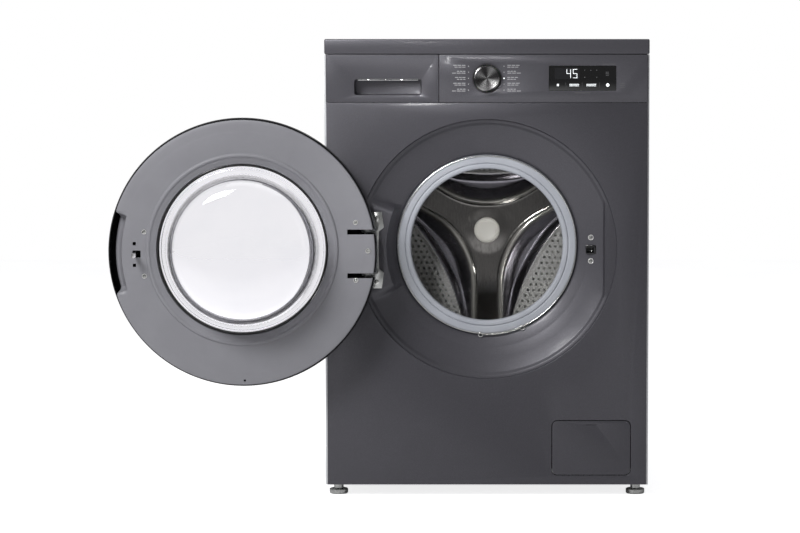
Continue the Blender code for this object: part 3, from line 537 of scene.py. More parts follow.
GRAPHITE_PAINT = make_paint("graphite_paint", shade(66, 65, 71), shade(112, 111, 117), shade(57, 56, 62),
                            0.42, 0.12)
STRIP_PAINT = make_paint("strip_paint", shade(80, 79, 85), shade(124, 123, 129), shade(70, 69, 75), 0.38,
                         0.14)
SILVER_PAINT = make_paint("silver_paint", shade(196, 197, 200), shade(228, 229, 232), shade(176, 176, 178),
                          0.34, 0.10)
print("paints:", GRAPHITE_PAINT.name, STRIP_PAINT.name, SILVER_PAINT.name)

# %% [markdown]
# Moulded plastics differ in colour, gloss and grain, and rubber is a plastic with a duller, dustier skin,
# so one maker serves them all. The grain is a tenth of a millimetre deep at most.

# %% Plastics and rubbers
def make_moulding(name, colour, patch, rough, grain=1400.0, depth=0.00005, amount=0.3, coat=0.0):
    finish, tree, shader = new_finish(name, Coat_Weight=coat, Coat_Roughness=0.08, IOR=1.5)
    skin = use_group(tree, MOULDED, Grain_Scale=grain)
    use = use_group(tree, HANDLED, Colour=colour, Patch_Colour=patch, Amount=amount, Scale=13.0,
                    Low_Roughness=rough, High_Roughness=rough + 0.14)
    tone = mixed(tree, computed(tree, "MULTIPLY", skin["Shade"], 0.3), use["Colour"], patch)
    tree.links.new(tone, shader.inputs["Base Color"])
    tree.links.new(use["Roughness"], shader.inputs["Roughness"])
    bumped(tree, shader, skin["Height"], depth, 0.4)
    return finish


GREY_PLASTIC = make_moulding("grey_plastic", shade(122, 122, 127), shade(112, 111, 117), 0.42)
DARK_PLASTIC = make_moulding("dark_plastic", shade(58, 56, 60), shade(70, 68, 71), 0.42)
BLACK_PLASTIC = make_moulding("black_plastic", shade(18, 18, 20), shade(30, 30, 32), 0.16, depth=0.00002,
                              coat=0.5)
WHITE_PLASTIC = make_moulding("white_plastic", shade(222, 222, 219), shade(205, 204, 198), 0.34)
HUB_PLASTIC = make_moulding("hub_plastic", shade(248, 246, 238), shade(240, 237, 228), 0.38)
LIFTER_PLASTIC = make_moulding("lifter_plastic", shade(150, 150, 154), shade(132, 131, 136), 0.36)
GREY_RUBBER = make_moulding("grey_rubber", shade(156, 159, 166), shade(138, 141, 150), 0.55, 900.0, 0.00008,
                            0.45)
BLACK_RUBBER = make_moulding("black_rubber", shade(20, 20, 21), shade(44, 43, 43), 0.58, 800.0, 0.0001, 0.35)
WHITE_SCREW_RING = make_moulding("screw_ring", shade(214, 214, 212), shade(190, 189, 186), 0.30)
print("mouldings made")

# %% [markdown]
# Metals are fully metallic, and what makes them read as steel is the brushing: a long thin noise that
# changes the colour, roughness and height together. Zinc plate has a soft crystalline bloom, cast metal and
# concrete are rough.

# %% Metals
def make_metal(name, colour, line, stretch, rough, depth=0.00003, patch=None):
    finish, tree, shader = new_finish(name, Metallic=1.0)
    lines = use_group(tree, BRUSHED, Colour=colour, Line_Colour=line, Stretch=stretch,
                      Low_Roughness=rough, High_Roughness=rough + 0.16)
    use = use_group(tree, HANDLED, Colour=lines["Colour"], Patch_Colour=patch or line, Amount=0.25,
                    Scale=16.0)
    tree.links.new(use["Colour"], shader.inputs["Base Color"])
    tree.links.new(lines["Roughness"], shader.inputs["Roughness"])
    bumped(tree, shader, lines["Height"], depth, 0.35)
    return finish


STEEL = make_metal("stainless_steel", shade(206, 205, 202), shade(176, 175, 172), (900, 60, 900), 0.16)
ZINC = make_metal("zinc_steel", shade(186, 187, 186), shade(160, 161, 160), (500, 500, 90), 0.26)
BRIGHT_STEEL = make_metal("bright_steel", shade(222, 222, 220), shade(196, 196, 194), (200, 700, 700), 0.12)
CHROME = make_metal("chrome", shade(232, 232, 234), shade(214, 214, 216), (120, 600, 600), 0.05, 0.00001)
CAST = make_metal("cast_aluminium", shade(168, 169, 170), shade(140, 141, 142), (350, 350, 350), 0.42, 0.0002)
COPPER = make_metal("copper_windings", shade(196, 120, 74), shade(140, 78, 44), (60, 60, 2200), 0.28, 0.0004)


def make_knob_metal():
    finish, tree, shader = new_finish("spun_knob_with_painted_highlight", Metallic=1.0)
    low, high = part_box("programme_knob")
    # The knob's bright rays are a painted highlight, set at a fixed turn; the rings are its real spun grain.
    spin_and_painted_highlight = use_group(tree, SPUN_WITH_PAINTED_HIGHLIGHT, Colour=shade(62, 61, 62), Sheen_Colour=shade(168, 168, 168), Rays=2.0,
                     Centre_X=(low.x + high.x) / 2, Centre_Z=(low.z + high.z) / 2, Turn=0.5)
    tree.links.new(spin_and_painted_highlight["Colour"], shader.inputs["Base Color"])
    tree.links.new(spin_and_painted_highlight["Roughness"], shader.inputs["Roughness"])
    bumped(tree, shader, spin_and_painted_highlight["Height"], 0.00003, 0.4)
    return finish


KNOB_METAL_WITH_PAINTED_HIGHLIGHT = make_knob_metal()
print("metals made")

# %% [markdown]
# The last few are special. Pressed glass is a clear transmitting shader whose normal has a faint cast-in
# ripple. The display window is near-black gloss, its digits glow, and concrete and circuit board are for
# the inside.

# %% Glass, display, concrete and board
def make_glass():
    finish, tree, shader = new_finish("clear_glass", Transmission_Weight=1.0, IOR=1.46, Metallic=0.0)
    ripple = add_node(tree, "ShaderNodeTexNoise", Vector=object_place(tree), Scale=34.0, Detail=2.0)
    film = use_group(tree, HANDLED, Colour=shade(240, 239, 243), Patch_Colour=shade(232, 232, 237),
                     Amount=0.5,
                     Scale=11.0, Low_Roughness=0.0, High_Roughness=0.04)
    tree.links.new(film["Colour"], shader.inputs["Base Color"])
    tree.links.new(film["Roughness"], shader.inputs["Roughness"])
    bumped(tree, shader, ripple.outputs[0], 0.0006, 0.15)
    return finish


def make_lit(name, colour, strength):
    finish, tree, shader = new_finish(name, Emission_Strength=strength, Roughness=0.4)
    noise = add_node(tree, "ShaderNodeTexNoise", Vector=object_place(tree), Scale=900.0)
    glow = mixed(tree, remapped(tree, noise.outputs[0], 0.3, 0.8, 0.0, 0.3), colour, shade(200, 210, 215))
    tree.links.new(glow, shader.inputs["Base Color"])
    tree.links.new(glow, shader.inputs["Emission Color"])
    return finish


def make_board():
    finish, tree, shader = new_finish("circuit_board", IOR=1.5)
    tracks = add_node(tree, "ShaderNodeTexBrick", Vector=object_place(tree, (60, 60, 60)),
                      Color1=shade(22, 92, 52),
                      Color2=shade(16, 74, 42), Mortar=shade(150, 160, 90), Scale=1.0, Mortar_Size=0.04)
    use = use_group(tree, HANDLED, Colour=tracks.outputs["Color"], Patch_Colour=shade(20, 60, 40),
                    Low_Roughness=0.25)
    tree.links.new(use["Colour"], shader.inputs["Base Color"])
    tree.links.new(use["Roughness"], shader.inputs["Roughness"])
    return finish


CLEAR_GLASS = make_glass()
BLACK_GLASS = make_moulding("black_glass", shade(6, 6, 7), shade(11, 11, 13), 0.05, depth=0.000005, coat=1.0)
GREY_WINDOW = make_moulding("grey_window", shade(34, 34, 36), shade(28, 28, 30), 0.12, depth=0.000005)
PRINT_WHITE = make_moulding("printed_white", shade(176, 176, 178), shade(160, 160, 162), 0.45)
PRINT_DIM = make_moulding("printed_dim", shade(92, 92, 94), shade(82, 82, 84), 0.45)
DISPLAY_LIGHT = make_lit("display_light", shade(244, 248, 250), 1.1)
CONCRETE = make_moulding("concrete", shade(142, 140, 134), shade(112, 109, 103), 0.80, 300.0, 0.0008, 0.6)
BOARD = make_board()
print("finishes:", len(bpy.data.materials))

# %% [markdown]
# # The cabinet
# The front is one pressed sheet: a flat face with a round, dished recess that leads in to the drum. The
# flat part starts as a block with the round hole and the flap's hole cut out of it. The dish is drawn ring
# by ring, because it is round everywhere except at the lock, where its side is straight, and at the hinge,
# where it has a flat pad.

# %% Front panel: the flat sheet
RECESS_RADIUS = 0.2415
CHORD_X = 0.2190
FLAP_X, FLAP_Z, FLAP_CORNER = (0.1203, 0.2678), (0.0387, 0.1423), 0.011
HEM = 0.0026
face = block("front_panel_pressing", (-FRONT_HALF, FRONT_HALF), (0, HEM), (PANEL_BOTTOM, PANEL_TOP))
cut_away(face, rod("recess_cutter", (0, DOOR_Z), RECESS_RADIUS, (-0.01, 0.01), 240))
cut_away(face, block("flap_cutter", FLAP_X, (-0.01, 0.01), FLAP_Z, FLAP_CORNER, 10))
round_edges(face, 0.0007, 3, 40)
print("flat sheet", [round(side, 4) for side in face.dimensions])

# %% Front panel: the dish
LEDGE_RADIUS, LEDGE_DEPTH, PAD_DEPTH, PAD_HALF_ANGLE = 0.2345, 0.0070, 0.0090, math.radians(22)


def straight_at_lock(radius):
    return lambda turn: min(radius, CHORD_X / max(math.cos(turn), 0.1))


def dish_depth(radius):
    return 0.013 + 0.38 * (0.230 - radius)


def pad_or(depth):
    """The dish's depth, but flat and shallow where the hinge is screwed on, with a short ramp to the pad."""
    def rule(turn):
        off = abs(abs(turn) - math.pi)
        share = min(max((off - PAD_HALF_ANGLE) / math.radians(3), 0), 1)
        return PAD_DEPTH + (depth - PAD_DEPTH) * share
    return rule


def foot(turn):
    return straight_at_lock(LEDGE_RADIUS)(turn) - 0.004


dish_rings = [
    ring(0.2424, 0.0014, DOOR_Z), ring(0.2412, 0.0026, DOOR_Z), ring(0.2404, 0.0050, DOOR_Z),
    ring(0.2396, 0.0058, DOOR_Z), ring(straight_at_lock(LEDGE_RADIUS + 0.0012), LEDGE_DEPTH - 0.0002, DOOR_Z),
    ring(straight_at_lock(LEDGE_RADIUS), LEDGE_DEPTH + 0.0006, DOOR_Z),
    ring(lambda turn: foot(turn) + 0.0008, lambda turn: pad_or(dish_depth(foot(turn)) - 0.0008)(turn),
         DOOR_Z),
    ring(lambda turn: foot(turn) - 0.0008, lambda turn: pad_or(dish_depth(foot(turn)) + 0.0002)(turn),
         DOOR_Z),
    ring(0.206, pad_or(dish_depth(0.206)), DOOR_Z + 0.001),
    ring(0.1895, pad_or(dish_depth(0.1895)), DOOR_Z + 0.002),
    ring(0.1870, pad_or(dish_depth(0.1895) + 0.0012), DOOR_Z + 0.002), ring(0.1745, 0.0330),
    ring(0.1718, 0.0350),
    ring(0.1692, 0.0374), ring(0.1687, 0.0392), ring(0.1687, 0.0520),
]
dish = loft("recess_dish", dish_rings, 240)
if min(p.normal.y for p in dish.data.polygons) > -max(p.normal.y for p in dish.data.polygons):
    pick(dish)
    bpy.ops.object.mode_set(mode="EDIT")
    bpy.ops.mesh.select_all(action="SELECT")
    bpy.ops.mesh.flip_normals()
    bpy.ops.object.mode_set(mode="OBJECT")
apply_modifier(dish, "SOLIDIFY", thickness=0.0012, offset=-1)
cut_away(dish, block("lock_cutter", (0.184, 0.203), (0.010, 0.045), (0.4505, 0.4675), 0.002, 4))
front_panel = join([face, dish], "front_panel_pressing")
placed(front_panel, "cabinet", GRAPHITE_PAINT, "graphite_paint", ["front_panel"], smooth_angle=30)

# %% [markdown]
# The cabinet's wrap, the worktop's frame and its inset board, and the rear cover are folded sheet or sawn
# board. Their working shapes are right, so copies of them get a rolled edge, which is what catches the
# light.

# %% Cabinet sheets and worktop
SOFT_SHEETS = [
    ("cabinet_shell", "cabinet_wrap", 0.0005, SILVER_PAINT, "silver_paint"),
    ("rear_panel", "rear_cover", 0.0012, SILVER_PAINT, "silver_paint"),
    ("worktop_frame", "worktop_rim", 0.0028, STRIP_PAINT, "graphite_plastic"),
    ("worktop_board", "worktop_inset", 0.0012, STRIP_PAINT, "laminate_board"),
]
for node, name, width, finish, slot in SOFT_SHEETS:
    placed(softened_copy(node, name, width, 3), "cabinet", finish, slot, [node])

# %% [markdown]
# The rear cover is held by screws along its edges, and the cabinet has four transit plugs. One screw is
# modelled, with a dished head and a cross slot, and copied.

# %% Screws
def screw(name, centre, y, radius=0.0042, facing=-1):
    """A pan-head screw: a domed head with a cross cut in it. Facing is -1 to the front and 1 to the back."""
    x, z = centre
    rise = facing * 0.0016
    rings = [ring(radius, y, z, x), ring(radius, y + rise * 0.4, z, x),
             ring(radius * 0.8, y + rise * 0.85, z, x),
             ring(radius * 0.45, y + rise, z, x), ring(0, y + rise, z, x)]
    head = loft(name, rings, 24)
    arm, width = radius * 0.55, radius * 0.12
    for half_x, half_z in ((arm, width), (width, arm)):
        cut_away(head, block("slot", (x - half_x, x + half_x), (y + rise * 0.45, y + rise * 1.5),
                             (z - half_z, z + half_z)))
    return head


_, rear_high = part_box("rear_panel")
shell_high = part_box("cabinet_shell")[1]
rear_y = rear_high.y - MACHINE_ORIGIN.y
shell_back = shell_high.y - MACHINE_ORIGIN.y
first = screw("rear_screw", (0, 0), 0, 0.0040, 1)
rear_screws = []
for x in (-0.195, 0.0, 0.195):
    for z in (0.195, 0.450, 0.705):
        if x or z != 0.450:
            rear_screws.append(copied(first, "rear_screw", Vector((x, rear_y - 0.0002, z))))
bpy.data.objects.remove(first)
placed(join(rear_screws, "rear_screws"), "cabinet", ZINC, "zinc_steel")
plugs = [
    loft("plug", [ring(r, shell_back + y, z, x) for r, y in
                  ((0.015, -0.0002), (0.015, 0.0010), (0.0135, 0.0022), (0.0105, 0.0022), (0.0095, 0.0008),
                   (0, 0.0008))], 40)
    for x in (-0.245, 0.245) for z in (0.300, 0.560)
]
placed(join(plugs, "transit_plugs"), "cabinet", DARK_PLASTIC, "dark_plastic")

# %% [markdown]
# The service flap is a thin plate with a finger notch at its top edge, and behind it sits the filter's cap.
# The four feet are stamped discs on a threaded stem.

# %% Service flap, filter cap and feet
FLAP_GAP = 0.00125
flap_x = (FLAP_X[0] + FLAP_GAP, FLAP_X[1] - FLAP_GAP)
flap_z = (FLAP_Z[0] + FLAP_GAP, FLAP_Z[1] - FLAP_GAP)
flap = block("flap_plate", flap_x, (0, 0.0024), flap_z, FLAP_CORNER - FLAP_GAP, 10)
cut_away(flap, block("finger_notch", (0.1838, 0.2040), (-0.01, 0.0013), (0.1326, 0.1346), 0.0009, 4))
round_edges(flap, 0.0006, 3)
placed(flap, "flap", GRAPHITE_PAINT, "graphite_paint", ["service_flap"])
cap = softened_copy("filter_cap", "filter_turn_cap", 0.0012, 3)
placed(cap, "filter_cap", DARK_PLASTIC, "dark_plastic", ["filter_cap"])

for corner in ("front_left", "front_right", "rear_left", "rear_right"):
    low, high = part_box(f"levelling_foot_{corner}")
    centre = (low + high) / 2 - MACHINE_ORIGIN
    stack = [(0, 0), (0.0160, 0), (0.0172, 0.0012), (0.0175, 0.0022), (0.0175, 0.0080), (0.0165, 0.0090),
             (0.0100, 0.0098), (0.0090, 0.0108), (0.0090, 0.0200), (0.0082, 0.0208), (0.0050, 0.0208)]
    thread = [(0.0050 - 0.0006 * (step % 2), 0.0214 + 0.0008 * step) for step in range(29)]
    sole = [(radius, height) for radius, height in stack + thread + [(0.0040, 0.0450), (0, 0.0450)]]
    leg = loft(f"foot_{corner}_screw", [ring(r, -h, 0) for r, h in sole], 32)
    leg.data.transform(Matrix.Rotation(math.radians(-90), 4, "X"))
    leg.data.transform(Matrix.Translation(Vector((centre.x, centre.y, 0))))
    tidy_mesh(leg)
    placed(leg, f"foot_{corner}", ZINC, "zinc_steel", [f"levelling_foot_{corner}"])

# %% [markdown]
# # The control strip
# The strip is a moulded fascia on the right and the drawer's front on the left, both in the cabinet's
# paint. The working copies get a fine rolled edge. The knob is spun metal with a bright chamfered rim in a
# dark well.

# %% Fascia and window
fascia = softened_copy("control_fascia", "control_strip", 0.0008, 3)
placed(fascia, "cabinet", STRIP_PAINT, "graphite_plastic", ["control_fascia"])
window = softened_copy("display_window", "display_glass", 0.0003, 2)
placed(window, "cabinet", BLACK_GLASS, "black_glass", ["display_window"])

# %% Knob and its well
knob_low, knob_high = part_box("programme_knob")
KNOB_Z = (knob_low.z + knob_high.z) / 2
KNOB_RADIUS = (knob_high.z - knob_low.z) / 2
knob_profile = [
    (0, -0.0128), (0.0040, -0.0129), (0.0195, -0.0131), (0.0212, -0.0135), (0.0224, -0.0135),
    (0.0236, -0.0129), (KNOB_RADIUS, -0.0118), (KNOB_RADIUS, -0.0050), (0.0234, -0.0045),
    (0.0234, -0.0038), (KNOB_RADIUS, -0.0033), (KNOB_RADIUS, 0.0015), (0.0032, 0.0015),
    (0.0030, 0.0042), (0, 0.0042),
]
knob = loft("spun_knob_with_painted_highlight", [ring(r, y, KNOB_Z) for r, y in knob_profile], 128)
knob_marks = []
for turn in range(0, 360, 10):
    angle = math.radians(turn)
    x, z = (KNOB_RADIUS + 0.0002) * math.cos(angle), KNOB_Z + (KNOB_RADIUS + 0.0002) * math.sin(angle)
    knob_marks.append(rod("flute", (x, z), 0.0004, (-0.0112, -0.0056), 8))
flutes = join(knob_marks, "flutes")
cut_away(knob, flutes)
placed(knob, "knob", KNOB_METAL_WITH_PAINTED_HIGHLIGHT, "stainless_steel", ["programme_knob"], smooth_angle=28)
well_profile = [(0.0271, 0.0002), (0.0271, 0.0024), (0.0256, 0.0016), (0.0248, 0.0006), (0.0258, -0.0003),
                (0.0267, -0.0003)]
well = loft("knob_well", [ring(r, y, KNOB_Z) for r, y in well_profile], 128, closed=True)
placed(well, "cabinet", DARK_PLASTIC, "dark_plastic")

# %% [markdown]
# Printing is a film of ink, so each mark is a plate a tenth of a millimetre proud of the surface it lies
# on. Round the knob are two columns of programme dots with two short lines of unreadable small print beside
# each.

# %% Programme dots
PRINT_DEPTH = (-0.00010, 0.00010)
DOT_HEIGHTS = [KNOB_Z + step for step in (0.0223, 0.0113, 0.0, -0.0107, -0.0217)]
LEFT_DOTS_X, RIGHT_DOTS_X = -0.0340, 0.0315


def printed_bar(x, z, width, height, depth=PRINT_DEPTH):
    """A line of small print, centred at x and z."""
    span = (x - width / 2, x + width / 2), (z - height / 2, z + height / 2)
    return block("print", span[0], depth, span[1], min(width, height) * 0.3, 2)


marks, lit = [], []
for row, z in enumerate(DOT_HEIGHTS):
    for dot_x in (LEFT_DOTS_X, RIGHT_DOTS_X):
        chosen = dot_x > 0 and row == 2
        (lit if chosen else marks).append(rod("dot", (dot_x, z), 0.0013 if chosen else 0.0009, PRINT_DEPTH,
                                              16))
    for start, direction in ((-0.0390, -1), (0.0370, 1)):
        for line, length in ((0.0017, 0.024 - 0.0035 * ((row * 2) % 3)),
                             (-0.0017, 0.017 + 0.0045 * ((row + 1) % 3))):
            for part in range(3):
                piece_length = length / 3 - 0.0012
                marks.append(printed_bar(start + direction * (length / 3 * (part + 0.5)), z + line,
                                         piece_length, 0.0011))
placed(join(marks, "programme_marks"), "cabinet", PRINT_WHITE, "white_plastic")
print("marks round the knob:", len(marks) + len(lit))

# %% [markdown]
# The display shows two seven-segment digits in a greyed window, a row of small words under it split by thin
# lines, a start symbol at its left end and a few dim lamps. Each segment is a thin plate with cut corners.

# %% Display digits
DISPLAY_DEPTH = (0.00035, 0.00060)
SEGMENTS = {"4": "bcfg", "5": "acdfg"}
DIGIT_WIDTH, DIGIT_HEIGHT, STROKE = 0.0085, 0.0172, 0.0015


def digit(character, x, z):
    """A seven-segment digit whose lower left corner is at x, z."""
    right, middle, top = x + DIGIT_WIDTH, z + DIGIT_HEIGHT / 2, z + DIGIT_HEIGHT
    places = {
        "a": ((x, right), (top - STROKE, top)), "b": ((right - STROKE, right), (middle, top)),
        "c": ((right - STROKE, right), (z, middle)), "d": ((x, right), (z, z + STROKE)),
        "e": ((x, x + STROKE), (z, middle)), "f": ((x, x + STROKE), (middle, top)),
        "g": ((x, right), (middle - STROKE / 2, middle + STROKE / 2)),
    }
    inset = 0.00035
    return [
        block("segment", (a + inset, b - inset), DISPLAY_DEPTH, (c + inset, d - inset), 0.0004, 2)
        for (a, b), (c, d) in (places[s] for s in SEGMENTS[character])
    ]


lit += digit("4", 0.1465, 0.7778) + digit("5", 0.1583, 0.7778)
lit.append(rod("ring_icon", (0.2228, 0.7653), 0.0030, DISPLAY_DEPTH, 32))
lit.append(printed_bar(0.1297, 0.7653, 0.0012, 0.0044, DISPLAY_DEPTH))
lit.append(printed_bar(0.1320, 0.7653, 0.0012, 0.0044, DISPLAY_DEPTH))
for x, width in ((0.1610, 0.018), (0.1924, 0.018)):
    for line in (0.0014, -0.0014):
        lit.append(printed_bar(x, 0.7653 + line, width, 0.0009, DISPLAY_DEPTH))
placed(join(lit, "display_digits"), "cabinet", DISPLAY_LIGHT, "white_plastic")
greyed = block("digit_window", (0.1251, 0.1706), (0.00045, 0.00062), (0.7762, 0.7964), 0.0010, 3)
placed(greyed, "cabinet", GREY_WINDOW, "black_glass")
dim = [printed_bar(x, 0.7657, 0.0003, 0.0090, DISPLAY_DEPTH) for x in (0.1454, 0.1758, 0.2075)]
dim += [rod("lamp", (x, z), 0.0009, DISPLAY_DEPTH, 12) for x, z in
        ((0.1804, 0.7925), (0.1915, 0.7925), (0.2025, 0.7925), (0.1804, 0.7796), (0.2025, 0.7796))]
dim += [printed_bar(0.2219, 0.7833 + 0.0028 * step, 0.0060, 0.0010, DISPLAY_DEPTH) for step in range(3)]
dim += [printed_bar(0.2247, 0.8037, 0.0240, 0.0011), printed_bar(0.1768, 0.7510, 0.0280, 0.0011)]
dim += [printed_bar(0.2495, 0.7610 + 0.0034 * step, 0.0110 - 0.002 * (step % 2), 0.0010) for step in range(3)]
placed(join(dim, "dim_marks"), "cabinet", PRINT_DIM, "white_plastic")

# %% [markdown]
# The drawer's front has a deep finger pocket with a polished strip along the top of its mouth. The tray
# behind has three compartments, and gets the softened edges of a moulding.

# %% Detergent drawer
drawer_face = softened_copy("drawer_front", "drawer_face", 0.0008, 3)
placed(drawer_face, "drawer", STRIP_PAINT, "graphite_plastic", ["drawer_front"])
tray = softened_copy("detergent_drawer", "drawer_tray", 0.0008, 2)
placed(tray, "drawer", WHITE_PLASTIC, "white_plastic", ["detergent_drawer"])
trim_low, trim_high = (corner - MACHINE_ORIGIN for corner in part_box("drawer_trim"))
trim = block("pocket_trim", (trim_low.x, trim_high.x), (trim_low.y, trim_high.y), (trim_low.z, trim_high.z))
trim_middle = (trim_low.x + trim_high.x) / 2
for step in range(4):
    x = trim_middle + 0.0042 * (step - 1.5)
    across, deep = (x - 0.0012, x + 0.0012), (trim_low.y - 0.001, trim_low.y + 0.0035)
    cut_away(trim, block("notch", across, deep, (trim_low.z - 0.001, trim_high.z + 0.001)))
round_edges(trim, 0.0003, 2)
placed(trim, "drawer", CHROME, "chrome", ["drawer_trim"])
lip = block("pocket_lip", (-0.2405, -0.1245), (-0.0001, 0.0030), (0.7762, 0.7773), 0.0004, 3)
placed(lip, "drawer", CHROME, "chrome")

# %% [markdown]
# # The door
# The door is modelled closed, where its numbers are the machine's own, and turned half a turn about the
# hinge at the end. Its outer frame is a deep gloss ring, its inner frame a flat grey ring with a raised
# bead round the glass, and at the free edge the inner frame dips into a scoop for the fingers.

# %% Door outer frame
GLASS_Z = DRUM_Z
SWEEP_REACH, EYE_REACH, ARM_HALF_GAP, ARM_OFFSET = 0.062, 0.0120, 0.0045, 0.040
HINGE_MIDDLE_Z = 0.4593


def arm_sweep(name, z, grow=0.0):
    """The wedge of space that a hinge arm needs between open and closed, as a thick sector about the pin."""
    turns = [(turn, SWEEP_REACH) for turn in range(52, 263, 7)]
    turns += [(turn, EYE_REACH) for turn in range(262, 412, 30)]
    clear_selection()
    bpy.ops.mesh.primitive_circle_add(vertices=len(turns), radius=1, fill_type="NGON")
    sector = bpy.context.object
    sector.name = name
    for vert, (turn, reach) in zip(sector.data.vertices, turns):
        angle = math.radians(turn)
        vert.co = (HINGE_AXIS.x + (reach + grow) * math.cos(angle),
                   HINGE_AXIS.y + (reach + grow) * math.sin(angle),
                   z - ARM_HALF_GAP - grow)
    choose(sector, "FACE", lambda f: True)
    bpy.ops.mesh.extrude_region_move(TRANSFORM_OT_translate={"value": (0, 0, 2 * (ARM_HALF_GAP + grow))})
    bpy.ops.object.mode_set(mode="OBJECT")
    tidy_mesh(sector)
    return sector


ARM_HEIGHTS = [HINGE_MIDDLE_Z - ARM_OFFSET, HINGE_MIDDLE_Z + ARM_OFFSET]
outer_curve = [
    (0.1560, -0.0190, GLASS_Z), (0.1560, -0.0300, GLASS_Z), (0.1562, -0.0440, GLASS_Z),
    (0.1572, -0.0478, GLASS_Z), (0.1605, -0.0512, GLASS_Z), (0.1650, -0.0530, 0.4665),
    (0.1860, -0.0545, 0.464), (0.2100, -0.0550, DOOR_Z), (0.2200, -0.0528, DOOR_Z),
    (0.2290, -0.0485, DOOR_Z), (0.2362, -0.0428, DOOR_Z), (0.2415, -0.0368, DOOR_Z),
    (0.2446, -0.0300, DOOR_Z), (0.2460, -0.0220, DOOR_Z), (0.2459, -0.0160, DOOR_Z),
    (0.2448, -0.0125, DOOR_Z),
]
inner_curve = [
    (0.2434, -0.0127, DOOR_Z), (0.2435, -0.0220, DOOR_Z), (0.2420, -0.0292, DOOR_Z),
    (0.2392, -0.0352, DOOR_Z), (0.2344, -0.0408, DOOR_Z), (0.2278, -0.0460, DOOR_Z),
    (0.2195, -0.0503, DOOR_Z), (0.2098, -0.0525, DOOR_Z), (0.1860, -0.0520, 0.464),
    (0.1655, -0.0505, 0.4665), (0.1622, -0.0494, GLASS_Z), (0.1596, -0.0470, GLASS_Z),
    (0.1586, -0.0440, GLASS_Z), (0.1585, -0.0300, GLASS_Z), (0.1585, -0.0190, GLASS_Z),
]
outer_frame = loft("door_outer_ring", [ring(r, y, z) for r, y, z in outer_curve + inner_curve], 240,
                   closed=True)
for z in ARM_HEIGHTS:
    cut_away(outer_frame, arm_sweep("sweep", z))
placed(outer_frame, "door", BLACK_PLASTIC, "black_plastic", ["door_outer_frame"], on_door=True)

# %% [markdown]
# The inner frame is one loft too. Near the free edge a share from 0 to 1 turns the flat profile into the
# scoop's, so the scoop grows out of the same mesh with a smooth shoulder at each end.

# %% Door inner frame with its finger scoop
SCOOP_HALF_ANGLE, SCOOP_RAMP = math.radians(18.5), math.radians(2.2)
SCOOP_START, SCOOP_DRAW = 0.2180, 0.64


def scoop_share(turn):
    share = min(max((SCOOP_HALF_ANGLE - abs(turn)) / SCOOP_RAMP, 0), 1)
    return share * share * (3 - 2 * share)


def dipping(flat, scooped):
    return lambda turn: flat + (scooped - flat) * scoop_share(turn)


def drawn_in(radius):
    """Past the scoop's floor the inner frame stops short of the rim and leaves a black crescent."""
    return dipping(radius, SCOOP_START + (radius - SCOOP_START) * SCOOP_DRAW
                   if radius > SCOOP_START else radius)


# Each row is a ring's radius, its depth on the flat and in the scoop, and the height of its centre.
inner_face = [
    (0.1560, -0.0175, -0.0175, GLASS_Z), (0.1560, -0.0035, -0.0035, GLASS_Z),
    (0.1566, -0.0014, -0.0014, GLASS_Z), (0.1585, -0.0006, -0.0006, GLASS_Z),
    (0.1668, 0.0000, 0.0000, GLASS_Z), (0.1684, 0.0007, 0.0007, GLASS_Z),
    (0.1694, 0.0017, 0.0017, GLASS_Z), (0.1706, 0.0020, 0.0020, GLASS_Z),
    (0.1728, 0.0020, 0.0020, GLASS_Z), (0.1740, 0.0016, 0.0016, GLASS_Z),
    (0.1750, 0.0002, 0.0002, GLASS_Z), (0.1764, -0.0012, -0.0012, GLASS_Z),
    (0.2000, -0.0014, -0.0014, 0.463), (0.2180, -0.0017, -0.0017, DOOR_Z),
    (0.2204, -0.0018, -0.0020, DOOR_Z), (0.2216, -0.0019, -0.0042, DOOR_Z),
    (0.2232, -0.0020, -0.0105, DOOR_Z), (0.2262, -0.0021, -0.0185, DOOR_Z),
    (0.2300, -0.0022, -0.0240, DOOR_Z), (0.2345, -0.0024, -0.0265, DOOR_Z),
    (0.2385, -0.0026, -0.0262, DOOR_Z), (0.2412, -0.0032, -0.0272, DOOR_Z),
    (0.2422, -0.0046, -0.0276, DOOR_Z), (0.2422, -0.0118, -0.0284, DOOR_Z),
]
inner_back = [
    (0.2404, -0.0118, -0.0262, DOOR_Z), (0.2403, -0.0056, -0.0258, DOOR_Z),
    (0.2380, -0.0044, -0.0282, DOOR_Z), (0.2340, -0.0042, -0.0285, DOOR_Z),
    (0.2290, -0.0040, -0.0262, DOOR_Z), (0.2244, -0.0039, -0.0200, DOOR_Z),
    (0.2214, -0.0038, -0.0112, DOOR_Z), (0.2200, -0.0037, -0.0052, DOOR_Z),
    (0.2180, -0.0035, -0.0037, DOOR_Z), (0.2000, -0.0032, -0.0032, 0.463),
    (0.1764, -0.0030, -0.0030, GLASS_Z), (0.1735, -0.0012, -0.0012, GLASS_Z),
    (0.1700, -0.0012, -0.0012, GLASS_Z), (0.1660, -0.0020, -0.0020, GLASS_Z),
    (0.1590, -0.0024, -0.0024, GLASS_Z), (0.1578, -0.0040, -0.0040, GLASS_Z),
    (0.1578, -0.0175, -0.0175, GLASS_Z),
]
inner_rings = [ring(drawn_in(r), dipping(flat, scooped), z)
               for r, flat, scooped, z in inner_face + inner_back]
inner_frame = loft("door_inner_ring", inner_rings, 360, closed=True)
HOOK_X = 0.1935
DOOR_SCREWS = [(0.1785, HOOK_Z + 0.0405), (0.1785, HOOK_Z - 0.0405), (-0.2066, 0.5166), (-0.2291, 0.4646),
               (-0.2070, 0.4108)]
BAR_HEIGHTS = [HOOK_Z + 0.0190, HOOK_Z - 0.0205]
cut_away(inner_frame, block("hook_hole", (HOOK_X - 0.0085, HOOK_X + 0.0065), (-0.02, 0.01),
                            (HOOK_Z - 0.0065, HOOK_Z + 0.0065), 0.0015, 4))
for z in BAR_HEIGHTS:
    cut_away(inner_frame, block("square_hole", (HOOK_X, HOOK_X + 0.006), (-0.02, 0.01),
                                (z - 0.003, z + 0.003), 0.0006, 2))
